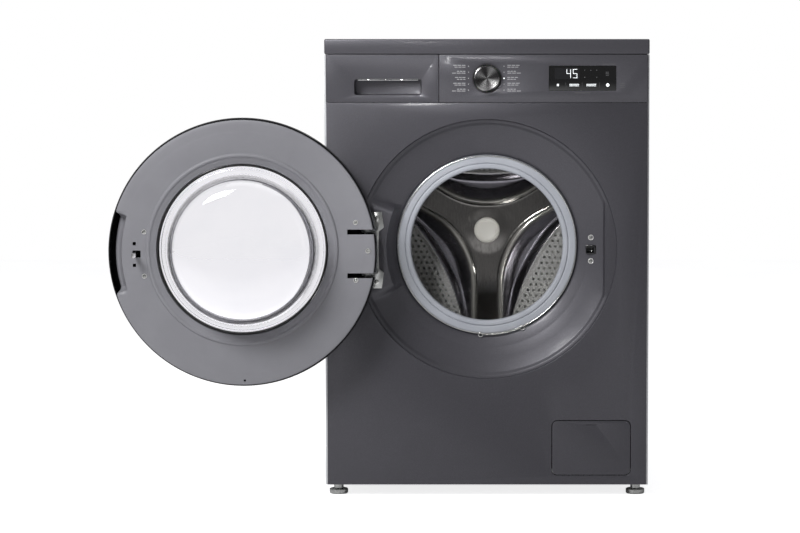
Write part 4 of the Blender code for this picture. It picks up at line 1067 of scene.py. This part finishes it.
for centre in DOOR_SCREWS:
    cut_away(inner_frame, rod("screw_hole", centre, 0.0046, (-0.0100, 0.0100), 32))
cut_away(inner_frame, rod("drain_hole", (-0.0033, DOOR_Z - 0.2340), 0.0022, (-0.0100, 0.0100), 24))
for z in ARM_HEIGHTS:
    cut_away(inner_frame, arm_sweep("sweep", z))
placed(inner_frame, "door", GREY_PLASTIC, "grey_plastic", ["door_inner_frame"], on_door=True)

# %% [markdown]
# Five screws hold the two frames together. Each sits in a pale ring set in its hole, and the head is a copy
# of one modelled screw.

# %% Door screws
ring_steps = [(0.0044, -0.0050), (0.0044, -0.0012), (0.0039, -0.0004), (0.0033, -0.0010), (0.0030, -0.0050)]
collars = [loft("collar", [ring(r, y, z, x) for r, y in ring_steps], 32, closed=True) for x, z in DOOR_SCREWS]
placed(join(collars, "door_screw_collars"), "door", WHITE_SCREW_RING, "white_plastic", on_door=True)
heads = [screw("head", centre, -0.0042, 0.0028, 1) for centre in DOOR_SCREWS]
placed(join(heads, "door_screws"), "door", ZINC, "zinc_steel", on_door=True)

# %% [markdown]
# The glass is one thick pressing: a flat flange held by the frame, a steep flank and a rounded nose that
# leans a little towards the hinge and upwards. It is drawn as an open bowl from the flange to the nose and
# given its wall, so that its thickness is real and refracts as the real one does.

# %% Door glass
NOSE_SHIFT = (-0.009, 0.004)
bowl_curve = [
    (0.1512, -0.0120, 0), (0.1516, -0.0110, 0), (0.1516, -0.0078, 0), (0.1508, -0.0068, 0),
    (0.1480, -0.0060, 0), (0.1440, -0.0042, 0.02), (0.1412, -0.0005, 0.06), (0.1392, 0.0070, 0.12),
    (0.1372, 0.0180, 0.20), (0.1350, 0.0300, 0.32), (0.1325, 0.0420, 0.46), (0.1298, 0.0520, 0.60),
    (0.1262, 0.0610, 0.76), (0.1205, 0.0685, 0.90), (0.1115, 0.0745, 0.97), (0.1000, 0.0782, 1),
    (0.0800, 0.0805, 1), (0.0500, 0.0817, 1), (0.0200, 0.0820, 1), (0, 0.0820, 1),
]
bowl_rings = [ring(r, y, GLASS_Z + NOSE_SHIFT[1] * share, NOSE_SHIFT[0] * share)
              for r, y, share in bowl_curve]
glass = loft("door_glass_bowl", bowl_rings, 128)
if max(glass.data.polygons, key=lambda p: p.center.y).normal.y < 0:
    pick(glass)
    bpy.ops.object.mode_set(mode="EDIT")
    bpy.ops.mesh.select_all(action="SELECT")
    bpy.ops.mesh.flip_normals()
    bpy.ops.object.mode_set(mode="OBJECT")
apply_modifier(glass, "SOLIDIFY", thickness=0.0045, offset=-1, use_even_offset=False)
placed(glass, "door", CLEAR_GLASS, "clear_glass", ["door_glass"], on_door=True, smooth_angle=60)

seal_curve = [(0.1518, -0.0120), (0.1557, -0.0120), (0.1557, -0.0020), (0.1553, -0.0002), (0.1546, 0.0005),
              (0.1537, 0.0004), (0.1530, -0.0008), (0.1528, -0.0030), (0.1519, -0.0040)]
seal = loft("door_seal_ring", [ring(r, y, GLASS_Z) for r, y in seal_curve], 160, closed=True)
placed(seal, "door", BLACK_RUBBER, "black_rubber", ["glass_seal"], on_door=True)

# %% [markdown]
# The hook and the hinge are small steel parts with cut edges. The hinge's plate is screwed to the cabinet,
# and its two arms reach out to the pin, so the door turns round them. Both keep their working shape, with
# the edges eased.

# %% Hook, hinge and lock
hook = softened_copy("door_hook", "door_catch", 0.0004, 2)
placed(hook, "door_hook", BRIGHT_STEEL, "zinc_steel", ["door_hook"])
hinge = softened_copy("hinge_bracket", "hinge_plate", 0.0006, 2)
placed(hinge, "cabinet", ZINC, "zinc_steel", ["hinge_bracket"])
HINGE_FACE = 0.0050
hinge_screws = [screw("hinge_screw", (-0.2045, HINGE_MIDDLE_Z + side * step), HINGE_FACE + 0.0001, 0.0046)
                for side in (-1, 1) for step in (0.0590,)]
placed(join(hinge_screws, "hinge_screws"), "cabinet", BRIGHT_STEEL, "zinc_steel")
lock = softened_copy("door_lock", "lock_body", 0.0006, 2)
placed(lock, "cabinet", BLACK_PLASTIC, "black_plastic", ["door_lock"])
LOCK_SCREWS = [(0.1935, 0.4814), (0.1935, 0.4375)]


def dish_face(x, z):
    """How far back the dish's cone lies at a place on the front."""
    return dish_depth(math.hypot(x, z - DOOR_Z))


lock_rings = [loft("lock_ring", [ring(r, dish_face(x, z) + y, z, x) for r, y in
                                 ((0.0052, 0.0022), (0.0052, -0.0012), (0.0046, -0.0020), (0.0038, -0.0016),
                                  (0.0034, 0.0022))],
                   32, closed=True) for x, z in LOCK_SCREWS]
placed(join(lock_rings, "lock_screw_collars"), "cabinet", WHITE_SCREW_RING, "white_plastic")
lock_heads = [screw("lock_screw", (x, z), dish_face(x, z) + 0.0004, 0.0032) for x, z in LOCK_SCREWS]
placed(join(lock_heads, "lock_screws"), "cabinet", ZINC, "zinc_steel")

# %% [markdown]
# # Gasket and clamp
# The rubber boot joins the cabinet to the hanging tub: a lip in the panel's flange, a fold and a sleeve on
# the tub's neck. Its section is turned round the drum's axis and subdivided once, so that the folds are
# soft. It bends between the two bodies, because its front stays with the cabinet while its sleeve bounces
# with the tub.

# %% Gasket
boot_curve = [
    (0.1682, 0.0375), (0.1682, 0.0505), (0.1674, 0.0510), (0.1652, 0.0510), (0.1640, 0.0500),
    (0.1622, 0.0436), (0.1600, 0.0430), (0.1520, 0.0430), (0.1500, 0.0436), (0.1474, 0.0500),
    (0.1476, 0.0530), (0.1580, 0.0645), (0.1590, 0.0670), (0.1590, 0.0965), (0.1586, 0.0974),
    (0.1560, 0.0974), (0.1554, 0.0968), (0.1554, 0.0690), (0.1546, 0.0670), (0.1440, 0.0556),
    (0.1428, 0.0530), (0.1415, 0.0460), (0.1414, 0.0430), (0.1420, 0.0385), (0.1432, 0.0364),
    (0.1460, 0.0356), (0.1506, 0.0354), (0.1512, 0.0360), (0.1515, 0.0374), (0.1522, 0.0374),
    (0.1526, 0.0360), (0.1532, 0.0353), (0.1600, 0.0350), (0.1640, 0.0350), (0.1656, 0.0354),
    (0.1672, 0.0366),
]
boot = loft("gasket_boot", [ring(r, y) for r, y in boot_curve], 128, closed=True)
apply_modifier(boot, "SUBSURF", levels=1, render_levels=1)
placed(boot, None, GREY_RUBBER, "grey_rubber", ["gasket"], smooth_angle=60)
fold_front, fold_back = 0.056, 0.068
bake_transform(boot, "cabinet", "tub", start=MACHINE_ORIGIN + Vector((0, fold_front, DRUM_Z)),
         end=MACHINE_ORIGIN + Vector((0, fold_back, DRUM_Z)))

# %% [markdown]
# A sprung wire clamps the lip to the panel. The wire is a thin torus, its two ends are bent into eyes, and
# a small tension spring joins the eyes at the lower right.

# %% Clamp wire, eyes and spring
CLAMP_RADIUS, CLAMP_Y, WIRE = 0.1660, 0.0336, 0.0011
EYE_TURNS = (266, 293)


def around_drum(radius, degrees, y):
    angle = math.radians(degrees)
    return Vector((radius * math.cos(angle), y, DRUM_Z + radius * math.sin(angle)))


def wire_ring(name, centre, radius, thickness, steps=160):
    clear_selection()
    bpy.ops.mesh.primitive_torus_add(
        major_radius=radius, minor_radius=thickness, major_segments=steps, minor_segments=10,
        location=centre, rotation=(math.pi / 2, 0, 0))
    wire = bpy.context.object
    wire.name = wire.data.name = name
    bpy.ops.object.transform_apply(location=True, rotation=True)
    return wire


def coil(name, start_turn, end_turn, radius, loops, thickness):
    """A close-wound spring that follows the clamp round the drum, as a bevelled curve made into a mesh."""
    curve = bpy.data.curves.new(name, "CURVE")
    curve.dimensions = "3D"
    curve.bevel_depth = thickness
    curve.bevel_resolution = 1
    line = curve.splines.new("POLY")
    steps = loops * 10
    line.points.add(steps)
    for step in range(steps + 1):
        share = step / steps
        turn, twist = start_turn + (end_turn - start_turn) * share, 2 * math.pi * loops * share
        place = around_drum(CLAMP_RADIUS + 0.0016 + radius * math.cos(twist), turn,
                            CLAMP_Y - 0.0022 + radius * math.sin(twist))
        line.points[step].co = (*place, 1)
    spring = bpy.data.objects.new(name, curve)
    bpy.context.scene.collection.objects.link(spring)
    curve.use_fill_caps = True
    pick(spring)
    bpy.ops.object.convert(target="MESH")
    return bpy.context.object


wires = [wire_ring("clamp_wire", (0, CLAMP_Y, DRUM_Z), CLAMP_RADIUS, WIRE)]
for turn in EYE_TURNS:
    wires.append(wire_ring("eye", around_drum(CLAMP_RADIUS + 0.0022, turn, CLAMP_Y - 0.0026), 0.0040,
                           0.0009, 28))
wires.append(coil("clamp_spring", EYE_TURNS[0] + 1.4, EYE_TURNS[1] - 1.4, 0.0017, 26, 0.00055))
placed(join(wires, "clamp_wire_and_spring"), "cabinet", BRIGHT_STEEL, "zinc_steel", ["gasket_clamp"],
       smooth_angle=60)

# %% [markdown]
# # The drum
# The drum is thin stainless sheet with real holes. Bevelling a grid's corner points opens each into a small
# star of faces. Deleting those faces and drawing the edge out to the hole's radius leaves clean eight-sided
# holes, so one loft gives a perforated wall. Every other point is opened, in staggered rows.

# %% Perforated wall
drum_low, drum_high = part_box("drum_shell")
DRUM_RADIUS = (drum_high.x - drum_low.x) / 2
DRUM_FRONT = drum_low.y - MACHINE_ORIGIN.y
DRUM_BACK = drum_high.y - MACHINE_ORIGIN.y
WALL_SIDES, WALL_ROWS, HOLE_RADIUS, SHEET = 150, 30, 0.0018, 0.0010


def open_holes(piece, rule, radius):
    """Turns each chosen point into a round hole."""
    centres = [vert.co.copy() for vert in piece.data.vertices if rule(vert)]
    choose(piece, "VERT", rule)
    bpy.ops.mesh.bevel(offset=radius, segments=2, profile=0.5, affect="VERTICES")
    bpy.ops.object.mode_set(mode="OBJECT")
    tree = KDTree(len(centres))
    for number, centre in enumerate(centres):
        tree.insert(centre, number)
    tree.balance()
    choose(piece, "FACE", lambda f: all(tree.find(v.co)[2] < radius * 1.08 for v in f.verts))
    bpy.ops.mesh.delete(type="FACE")
    bpy.ops.object.mode_set(mode="OBJECT")
    for vert in piece.data.vertices:
        centre, _, distance = tree.find(vert.co)
        if distance < radius * 1.08:
            vert.co = centre + (vert.co - centre) * (radius / distance)
    print(piece.name, "has", len(centres), "holes of", round(2000 * radius, 1), "mm")


wall_start, wall_end = DRUM_FRONT + 0.006, DRUM_BACK
row_step = (wall_end - wall_start) / WALL_ROWS
mouth_rings = [(0.1505, 0.1180), (0.1505, 0.1090), (0.1512, DRUM_FRONT), (0.1800, DRUM_FRONT),
               (0.2380, DRUM_FRONT),
               (0.2425, DRUM_FRONT + 0.0012)]
wall_rings = [(DRUM_RADIUS, wall_start + row_step * row) for row in range(WALL_ROWS + 1)]
shell = loft("perforated_drum", [ring(r, y) for r, y in mouth_rings + wall_rings], WALL_SIDES)


def on_staggered_rows(vert):
    row = round((vert.co.y - wall_start) / row_step)
    side = round(math.atan2(vert.co.z - DRUM_Z, vert.co.x) / (2 * math.pi / WALL_SIDES))
    on_wall = math.hypot(vert.co.x, vert.co.z - DRUM_Z) > DRUM_RADIUS - 0.0005
    near_lifter = any(abs((math.degrees(math.atan2(vert.co.z - DRUM_Z, vert.co.x)) - turn + 180) % 360
                          - 180) < 8
                      for turn in (90, 210, 330))
    return on_wall and 1 < row < WALL_ROWS - 1 and (row + side) % 2 == 0 and not near_lifter


open_holes(shell, on_staggered_rows, HOLE_RADIUS)
apply_modifier(shell, "SOLIDIFY", thickness=SHEET, offset=-1)
placed(shell, "drum", STEEL, "stainless_steel", ["drum_shell"], smooth_angle=40)

# %% [markdown]
# The drum's back is one pressing with three-fold relief. A polished three-armed star stands in the middle,
# three petals are pressed away from it, each with a doubled ridge towards the hub, and beyond the petals
# the sheet is perforated. A fine grid gets its relief from a formula, and its perforations in the same way
# as the wall.

# %% The shape of the drum's back
BACK_LEVEL, RIDGE_RISE, PETAL_DROP = 0.4125, 0.0055, 0.0068
ARM_HALF_WIDTH, RIDGE_ARC = 0.027, 0.167
ARC_CENTRE = (ARM_HALF_WIDTH + RIDGE_ARC) / math.sin(math.radians(60))
ARC_REACH = ARC_CENTRE * math.cos(math.radians(60))
PETAL_END, PETAL_BOW = 0.114, 1.15
RIDGE_HALF_WIDTH = 0.0060


def petal_place(x, z):
    """A point of the back, folded into one petal: along the petal's middle and sideways from it."""
    turn = math.degrees(math.atan2(z, x))
    off = math.radians((turn - 90 + 60) % 120 - 60)
    reach = math.hypot(x, z)
    return reach * math.cos(off), reach * math.sin(off)


def inside_petal(along, side):
    """Distance past the ridge's middle line, counted positive into the petal."""
    reach_on_arm = along * math.cos(math.radians(60)) + abs(side) * math.sin(math.radians(60))
    if reach_on_arm > ARC_REACH:
        return along * math.sin(math.radians(60)) - abs(side) * math.cos(math.radians(60)) - ARM_HALF_WIDTH
    return RIDGE_ARC - math.hypot(along - ARC_CENTRE, side)


def smooth_step(value):
    value = min(max(value, 0), 1)
    return value * value * (3 - 2 * value)


def back_relief(x, z):
    """How far a point stands towards the mouth, and its zone: 0 star, 1 ridge, 2 petal, 3 perforated."""
    along, side = petal_place(x, z)
    past_ridge = inside_petal(along, side)
    past_edge = along - (PETAL_END + PETAL_BOW * side * side)
    reach = math.hypot(x, z)
    narrowing = 1 - 0.5 * smooth_step((reach - 0.06) / 0.09)
    half = RIDGE_HALF_WIDTH * narrowing
    ridge = RIDGE_RISE * narrowing * math.exp(-((past_ridge / half) ** 2) * 1.6)
    groove = 0.0014 * narrowing * math.exp(-((past_ridge / (half * 0.30)) ** 2))
    bowl = PETAL_DROP * smooth_step(past_ridge / 0.030) * smooth_step(-past_edge / 0.020)
    edge_bead = 0.0012 * math.exp(-((past_edge / 0.0016) ** 2)) * smooth_step(past_ridge / 0.010)
    star = 0.0016 * smooth_step((0.050 - reach) / 0.030)
    if past_ridge > half:
        zone = 3 if past_edge > 0.001 else 2
    else:
        zone = 1 if past_ridge > -half else 0
    return ridge - groove - bowl + edge_bead + star, zone, past_ridge, past_edge


# %% The drum's back
CELL, PERFORATION_RADIUS = 0.00275, 0.00262
CELLS_HALF = int(DRUM_RADIUS / CELL) - 1
clear_selection()
bpy.ops.mesh.primitive_grid_add(x_subdivisions=2 * CELLS_HALF, y_subdivisions=2 * CELLS_HALF,
                                size=2 * CELLS_HALF * CELL,
                                rotation=(math.pi / 2, 0, 0))
back = bpy.context.object
back.name = back.data.name = "drum_star_back"
bpy.ops.object.transform_apply(rotation=True)
choose(back, "VERT", lambda v: math.hypot(v.co.x, v.co.z) > DRUM_RADIUS - 0.0040)
bpy.ops.mesh.delete(type="VERT")
bpy.ops.object.mode_set(mode="OBJECT")


def is_perforation(vert):
    column, row = round(vert.co.x / CELL), round(vert.co.z / CELL)
    on_lattice = row % 4 == 0 and column % 4 == (2 if row % 8 else 0)
    if not on_lattice or math.hypot(vert.co.x, vert.co.z) > DRUM_RADIUS - 0.010:
        return False
    _, zone, past_ridge, past_edge = back_relief(vert.co.x, vert.co.z)
    return zone == 3 and past_edge > 0.0055 and past_ridge > 0.0060


open_holes(back, is_perforation, PERFORATION_RADIUS)
zones = back.data.attributes.new("zone", "FLOAT_COLOR", "POINT")
for vert, colour in zip(back.data.vertices, zones.data):
    rise, zone, past_ridge, past_edge = back_relief(vert.co.x, vert.co.z)
    in_petal = smooth_step((past_ridge - 0.002) / 0.004) * smooth_step(-past_edge / 0.002)
    perforated = smooth_step((past_edge + 0.0015) / 0.002) * smooth_step((past_ridge - 0.002) / 0.004)
    # The third channel is a painted highlight: a bright line along the middle of each ridge.
    painted_highlight_line = math.exp(-((past_ridge / 0.0050) ** 2))
    colour.color = (in_petal, perforated, painted_highlight_line, 1)
    vert.co.y = BACK_LEVEL - rise
for vert in back.data.vertices:
    vert.co.z += DRUM_Z
pick(back)
bpy.ops.object.mode_set(mode="EDIT")
bpy.ops.mesh.select_all(action="SELECT")
bpy.ops.mesh.normals_make_consistent(inside=False)
bpy.ops.object.mode_set(mode="OBJECT")
if sum(p.normal.y * p.area for p in back.data.polygons) > 0:
    back.data.flip_normals()
apply_modifier(back, "SOLIDIFY", thickness=0.0008, offset=-1)
print("back of the drum from y", round(min(v.co.y for v in back.data.vertices), 4), "to",
      round(max(v.co.y for v in back.data.vertices), 4))

# %% [markdown]
# The back is one steel, but polished differently by zone: mirror on the star, satin in the petals and
# bright brushed where it is perforated. The star's darker colour is a painted dark reflection, and a
# near-white line along each ridge is a painted highlight. The zones and the ridge line were painted on the
# mesh as a colour attribute, so the finish follows the pressing exactly.

# %% Finish of the drum's back
STAR_STEEL_WITH_PAINTED_LIGHT, star_tree, star_shader = new_finish("star_steel_with_painted_light", Metallic=1.0)
painted = add_node(star_tree, "ShaderNodeAttribute", {"attribute_name": "zone"})
zone_parts = add_node(star_tree, "ShaderNodeSeparateColor", Color=painted.outputs["Color"]).outputs
# The star's darker steel colour is a painted dark reflection; its brushing is real.
star_lines_and_painted_dark_reflection = use_group(star_tree, BRUSHED, Colour=shade(134, 132, 130), Line_Colour=shade(112, 110, 108),
                       Stretch=(300, 300, 60), Low_Roughness=0.10, High_Roughness=0.20)
petal_lines = use_group(star_tree, BRUSHED, Colour=shade(150, 148, 156), Line_Colour=shade(118, 116, 124),
                        Stretch=(70, 300, 260), Low_Roughness=0.16, High_Roughness=0.30)
bright_lines = use_group(star_tree, BRUSHED, Colour=shade(228, 228, 226), Line_Colour=shade(206, 206, 204),
                         Stretch=(60, 500, 700), Low_Roughness=0.22, High_Roughness=0.36)
tone = mixed(star_tree, zone_parts[0], star_lines_and_painted_dark_reflection["Colour"], petal_lines["Colour"])
# The ridge line's near-white is a painted highlight.
tone = mixed(star_tree, zone_parts[2], tone, shade(222, 220, 214))
tone = mixed(star_tree, zone_parts[1], tone, bright_lines["Colour"])
star_tree.links.new(tone, star_shader.inputs["Base Color"])
rough = mixed(star_tree, zone_parts[0], star_lines_and_painted_dark_reflection["Roughness"], petal_lines["Roughness"])
rough = mixed(star_tree, zone_parts[1], rough, bright_lines["Roughness"])
star_tree.links.new(add_node(star_tree, "ShaderNodeSeparateColor", Color=rough).outputs[0],
                    star_shader.inputs["Roughness"])
# The perforated zone is satin steel, which scatters light where mirror steel does not, so it is less
# metallic. Along each ridge the metal is turned down too, so that the painted highlight shows as a bright
# line.
satin_and_painted_highlight = computed(star_tree, "MAXIMUM", computed(star_tree, "MULTIPLY", zone_parts[1], 0.60),
                 computed(star_tree, "MULTIPLY", zone_parts[2], 0.50))
star_tree.links.new(computed(star_tree, "SUBTRACT", 1.0, satin_and_painted_highlight), star_shader.inputs["Metallic"])
bumped(star_tree, star_shader, star_lines_and_painted_dark_reflection["Height"], 0.00002, 0.3)
placed(back, "drum", STAR_STEEL_WITH_PAINTED_LIGHT, "stainless_steel", ["drum_back"], smooth_angle=60)

# %% [markdown]
# A plastic cap covers the bolt in the middle of the star, and three lifters ride on the wall. The cap is a
# turned button with a shallow dish and a fine groove.

# %% Hub cap and lifters
cap_curve = [
    (0, 0.4078), (0.0080, 0.4077), (0.0150, 0.4072), (0.0180, 0.4068), (0.0186, 0.4073),
    (0.0192, 0.4073), (0.0198, 0.4066), (0.0228, 0.4070), (0.0246, 0.4080), (0.0256, 0.4096),
    (0.0260, 0.4112), (0.0260, 0.4118), (0, 0.4118),
]
hub = loft("hub_button", [ring(r, y) for r, y in cap_curve], 96)
placed(hub, "drum", HUB_PLASTIC, "grey_plastic", ["hub_cap"])
for number in (1, 2, 3):
    lifter = softened_copy(f"lifter_{number}", f"drum_lifter_{number}", 0.0045, 3, 20)
    placed(lifter, "drum", LIFTER_PLASTIC, "grey_plastic", [f"lifter_{number}"])

# %% [markdown]
# # The parts that keep their working shape
# Everything inside the cabinet keeps the working part's mesh, and only takes its real finish.

# %% Finishes for the parts inside
INSIDE_FINISHES = {
    "base_pan": ZINC, "control_board": BOARD, "dispenser_housing": WHITE_PLASTIC,
    "dispenser_hose": BLACK_RUBBER, "inlet_valve": WHITE_PLASTIC, "hinge_pin": BRIGHT_STEEL,
    "tub_front": WHITE_PLASTIC, "tub_rear": WHITE_PLASTIC, "stator": COPPER, "rotor": ZINC,
    "rotor_nut": ZINC, "drum_shaft": BRIGHT_STEEL, "front_bearing": BRIGHT_STEEL,
    "rear_bearing": BRIGHT_STEEL, "spider": CAST, "heater": BRIGHT_STEEL, "drain_pump": WHITE_PLASTIC,
    "sump_hose": BLACK_RUBBER, "drain_outlet": WHITE_PLASTIC, "cord_gland": BLACK_PLASTIC,
}
FAMILY_FINISHES = {
    "counterweight": CONCRETE, "spring_": BRIGHT_STEEL, "damper_cylinder": ZINC,
    "damper_rod": BLACK_PLASTIC, "lifter_": LIFTER_PLASTIC, "levelling_foot": ZINC,
}
for name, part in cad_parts.items():
    family = [finish for start, finish in FAMILY_FINISHES.items() if start in name]
    finish = INSIDE_FINISHES.get(name) or (family[0] if family else None)
    if finish and not part.hide_render:
        part.data.materials.clear()
        part.data.materials.append(finish)
        pick(part)
        bpy.ops.object.shade_smooth_by_angle(angle=math.radians(35))
shown = [name for name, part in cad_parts.items() if not part.hide_render]
print(len(shown), "working parts shown:", shown)
print("without a finish:", [n for n in shown
                            if n not in INSIDE_FINISHES and not any(start in n for start in FAMILY_FINISHES)])

# %% [markdown]
# # The room
# The floor is flat and pale. It glows faintly where the camera or the glass sees it, and hardly at all for
# the machine, so that it runs into the wall without lighting the dark panel from below.

# %% Floor
clear_selection()
bpy.ops.mesh.primitive_plane_add(size=1)
floor = bpy.context.object
floor.name = "floor"
FLOOR_HALF, FLOOR_BACK, FLOOR_FRONT = 9.0, 5.0, -9.0
floor.scale = (2 * FLOOR_HALF, FLOOR_BACK - FLOOR_FRONT, 1)
floor.location = (0, (FLOOR_BACK + FLOOR_FRONT) / 2, 0)
bpy.ops.object.transform_apply(location=True, scale=True)
FLOOR_FINISH, floor_tree, floor_shader = new_finish("floor_white", Roughness=0.55)
floor_noise = add_node(floor_tree, "ShaderNodeTexNoise", Vector=object_place(floor_tree), Scale=3.0,
                       Detail=3.0)
floor_tone = mixed(floor_tree, floor_noise.outputs[0], (0.90, 0.90, 0.90, 1), (0.86, 0.86, 0.87, 1))
floor_tree.links.new(floor_tone, floor_shader.inputs["Base Color"])
floor_tree.links.new(floor_tone, floor_shader.inputs["Emission Color"])
floor_rays = floor_tree.nodes.new("ShaderNodeLightPath").outputs
FLOOR_GLOW_SEEN, FLOOR_GLOW = 0.91, 0.03
floor_seen = computed(floor_tree, "MAXIMUM", floor_rays["Is Camera Ray"], floor_rays["Is Transmission Ray"])
floor_glow = computed(floor_tree, "MULTIPLY_ADD", floor_seen, FLOOR_GLOW_SEEN - FLOOR_GLOW, FLOOR_GLOW)
floor_tree.links.new(floor_glow, floor_shader.inputs["Emission Strength"])
floor.data.materials.append(FLOOR_FINISH)
print("floor", [round(side, 2) for side in floor.dimensions])

# %% [markdown]
# The light comes from the upper left, so the panel falls off towards its lower right. A weak light on the
# right keeps that side from going black, and a wide one lies over the worktop. A soft spot reaches in
# through the open door, or the drum would be the darkest part of the scene.

# %% Lights
def hung(light, place, aim):
    """Puts a light or the camera at a place, and turns it to its aim."""
    holder = bpy.data.objects.new(light.name, light)
    bpy.context.scene.collection.objects.link(holder)
    holder.location = place
    holder.rotation_euler = (Vector(aim) - Vector(place)).to_track_quat("-Z", "Y").to_euler()
    return holder


def softbox(name, place, aim, size, power):
    light = bpy.data.lights.new(name, "AREA")
    light.shape = "RECTANGLE"
    light.size, light.size_y = size
    light.energy = power
    hung(light, place, aim)


machine_middle = MACHINE_ORIGIN + Vector((0, 0, 0.45))
softbox("key_light", (-1.2, -1.9, 2.0), machine_middle + Vector((-0.3, 0, 0.3)), (0.9, 0.8), 66)
softbox("fill_light", (2.6, -3.0, 1.2), machine_middle, (1.2, 2.0), 3)
softbox("top_light", (0.3, 0.2, 3.4), machine_middle, (3.0, 3.0), 25)
drum_lamp = bpy.data.lights.new("drum_spot", "SPOT")
drum_lamp.energy = 150
drum_lamp.spot_size = math.radians(8.5)
drum_lamp.spot_blend = 0.7
drum_lamp.shadow_soft_size = 0.16
hung(drum_lamp, (MACHINE_ORIGIN.x - 0.45, -2.8, DRUM_Z + 0.75), MACHINE_ORIGIN + Vector((0, 0.4, DRUM_Z)))

# %% [markdown]
# The room is pale all round. What the camera and the glass see of it is white, and what lights the machine
# is dimmer, so that dark paint keeps its depth against a white wall.

# %% World
ROOM_SEEN, ROOM_LIGHT = 1.0, 0.17
world = bpy.data.worlds.new("pale_room")
bpy.context.scene.world = world
world.use_nodes = True
backdrop = world.node_tree.nodes["Background"]
backdrop.inputs["Color"].default_value = (1.0, 1.0, 1.0, 1.0)
rays = world.node_tree.nodes.new("ShaderNodeLightPath").outputs
seen = computed(world.node_tree, "MAXIMUM", rays["Is Camera Ray"], rays["Is Transmission Ray"])
strength = computed(world.node_tree, "MULTIPLY_ADD", seen, ROOM_SEEN - ROOM_LIGHT, ROOM_LIGHT)
world.node_tree.links.new(strength, backdrop.inputs["Strength"])
bpy.context.scene.view_settings.view_transform = "Standard"
print("room strength", ROOM_SEEN, "seen and", ROOM_LIGHT, "as light")

# %% [markdown]
# The camera stands well back, straight in front and as high as the worktop, and looks a little down. It
# aims at the machine's middle, and a small shift brings the open door and the floor into the frame.

# %% Camera
CAMERA_REACH, CAMERA_HEIGHT = 4.8, 0.85
CAMERA_PLACE = MACHINE_ORIGIN + Vector((0, -CAMERA_REACH, CAMERA_HEIGHT))
FRAMED_WIDTH = 1.477
AIM_BESIDE, AIM_HEIGHT, SHIFT_UP = -0.1605, 0.430, 0.06
CAMERA_AIM = MACHINE_ORIGIN + Vector((0, 0, AIM_HEIGHT + SHIFT_UP * FRAMED_WIDTH))
camera_data = bpy.data.cameras.new("camera")
camera_data.lens = camera_data.sensor_width * CAMERA_REACH / FRAMED_WIDTH
camera_data.shift_x = AIM_BESIDE / FRAMED_WIDTH
camera_data.shift_y = -SHIFT_UP
bpy.context.scene.camera = hung(camera_data, CAMERA_PLACE, CAMERA_AIM)
print("camera", round((CAMERA_AIM - CAMERA_PLACE).length, 2), "m from the machine")
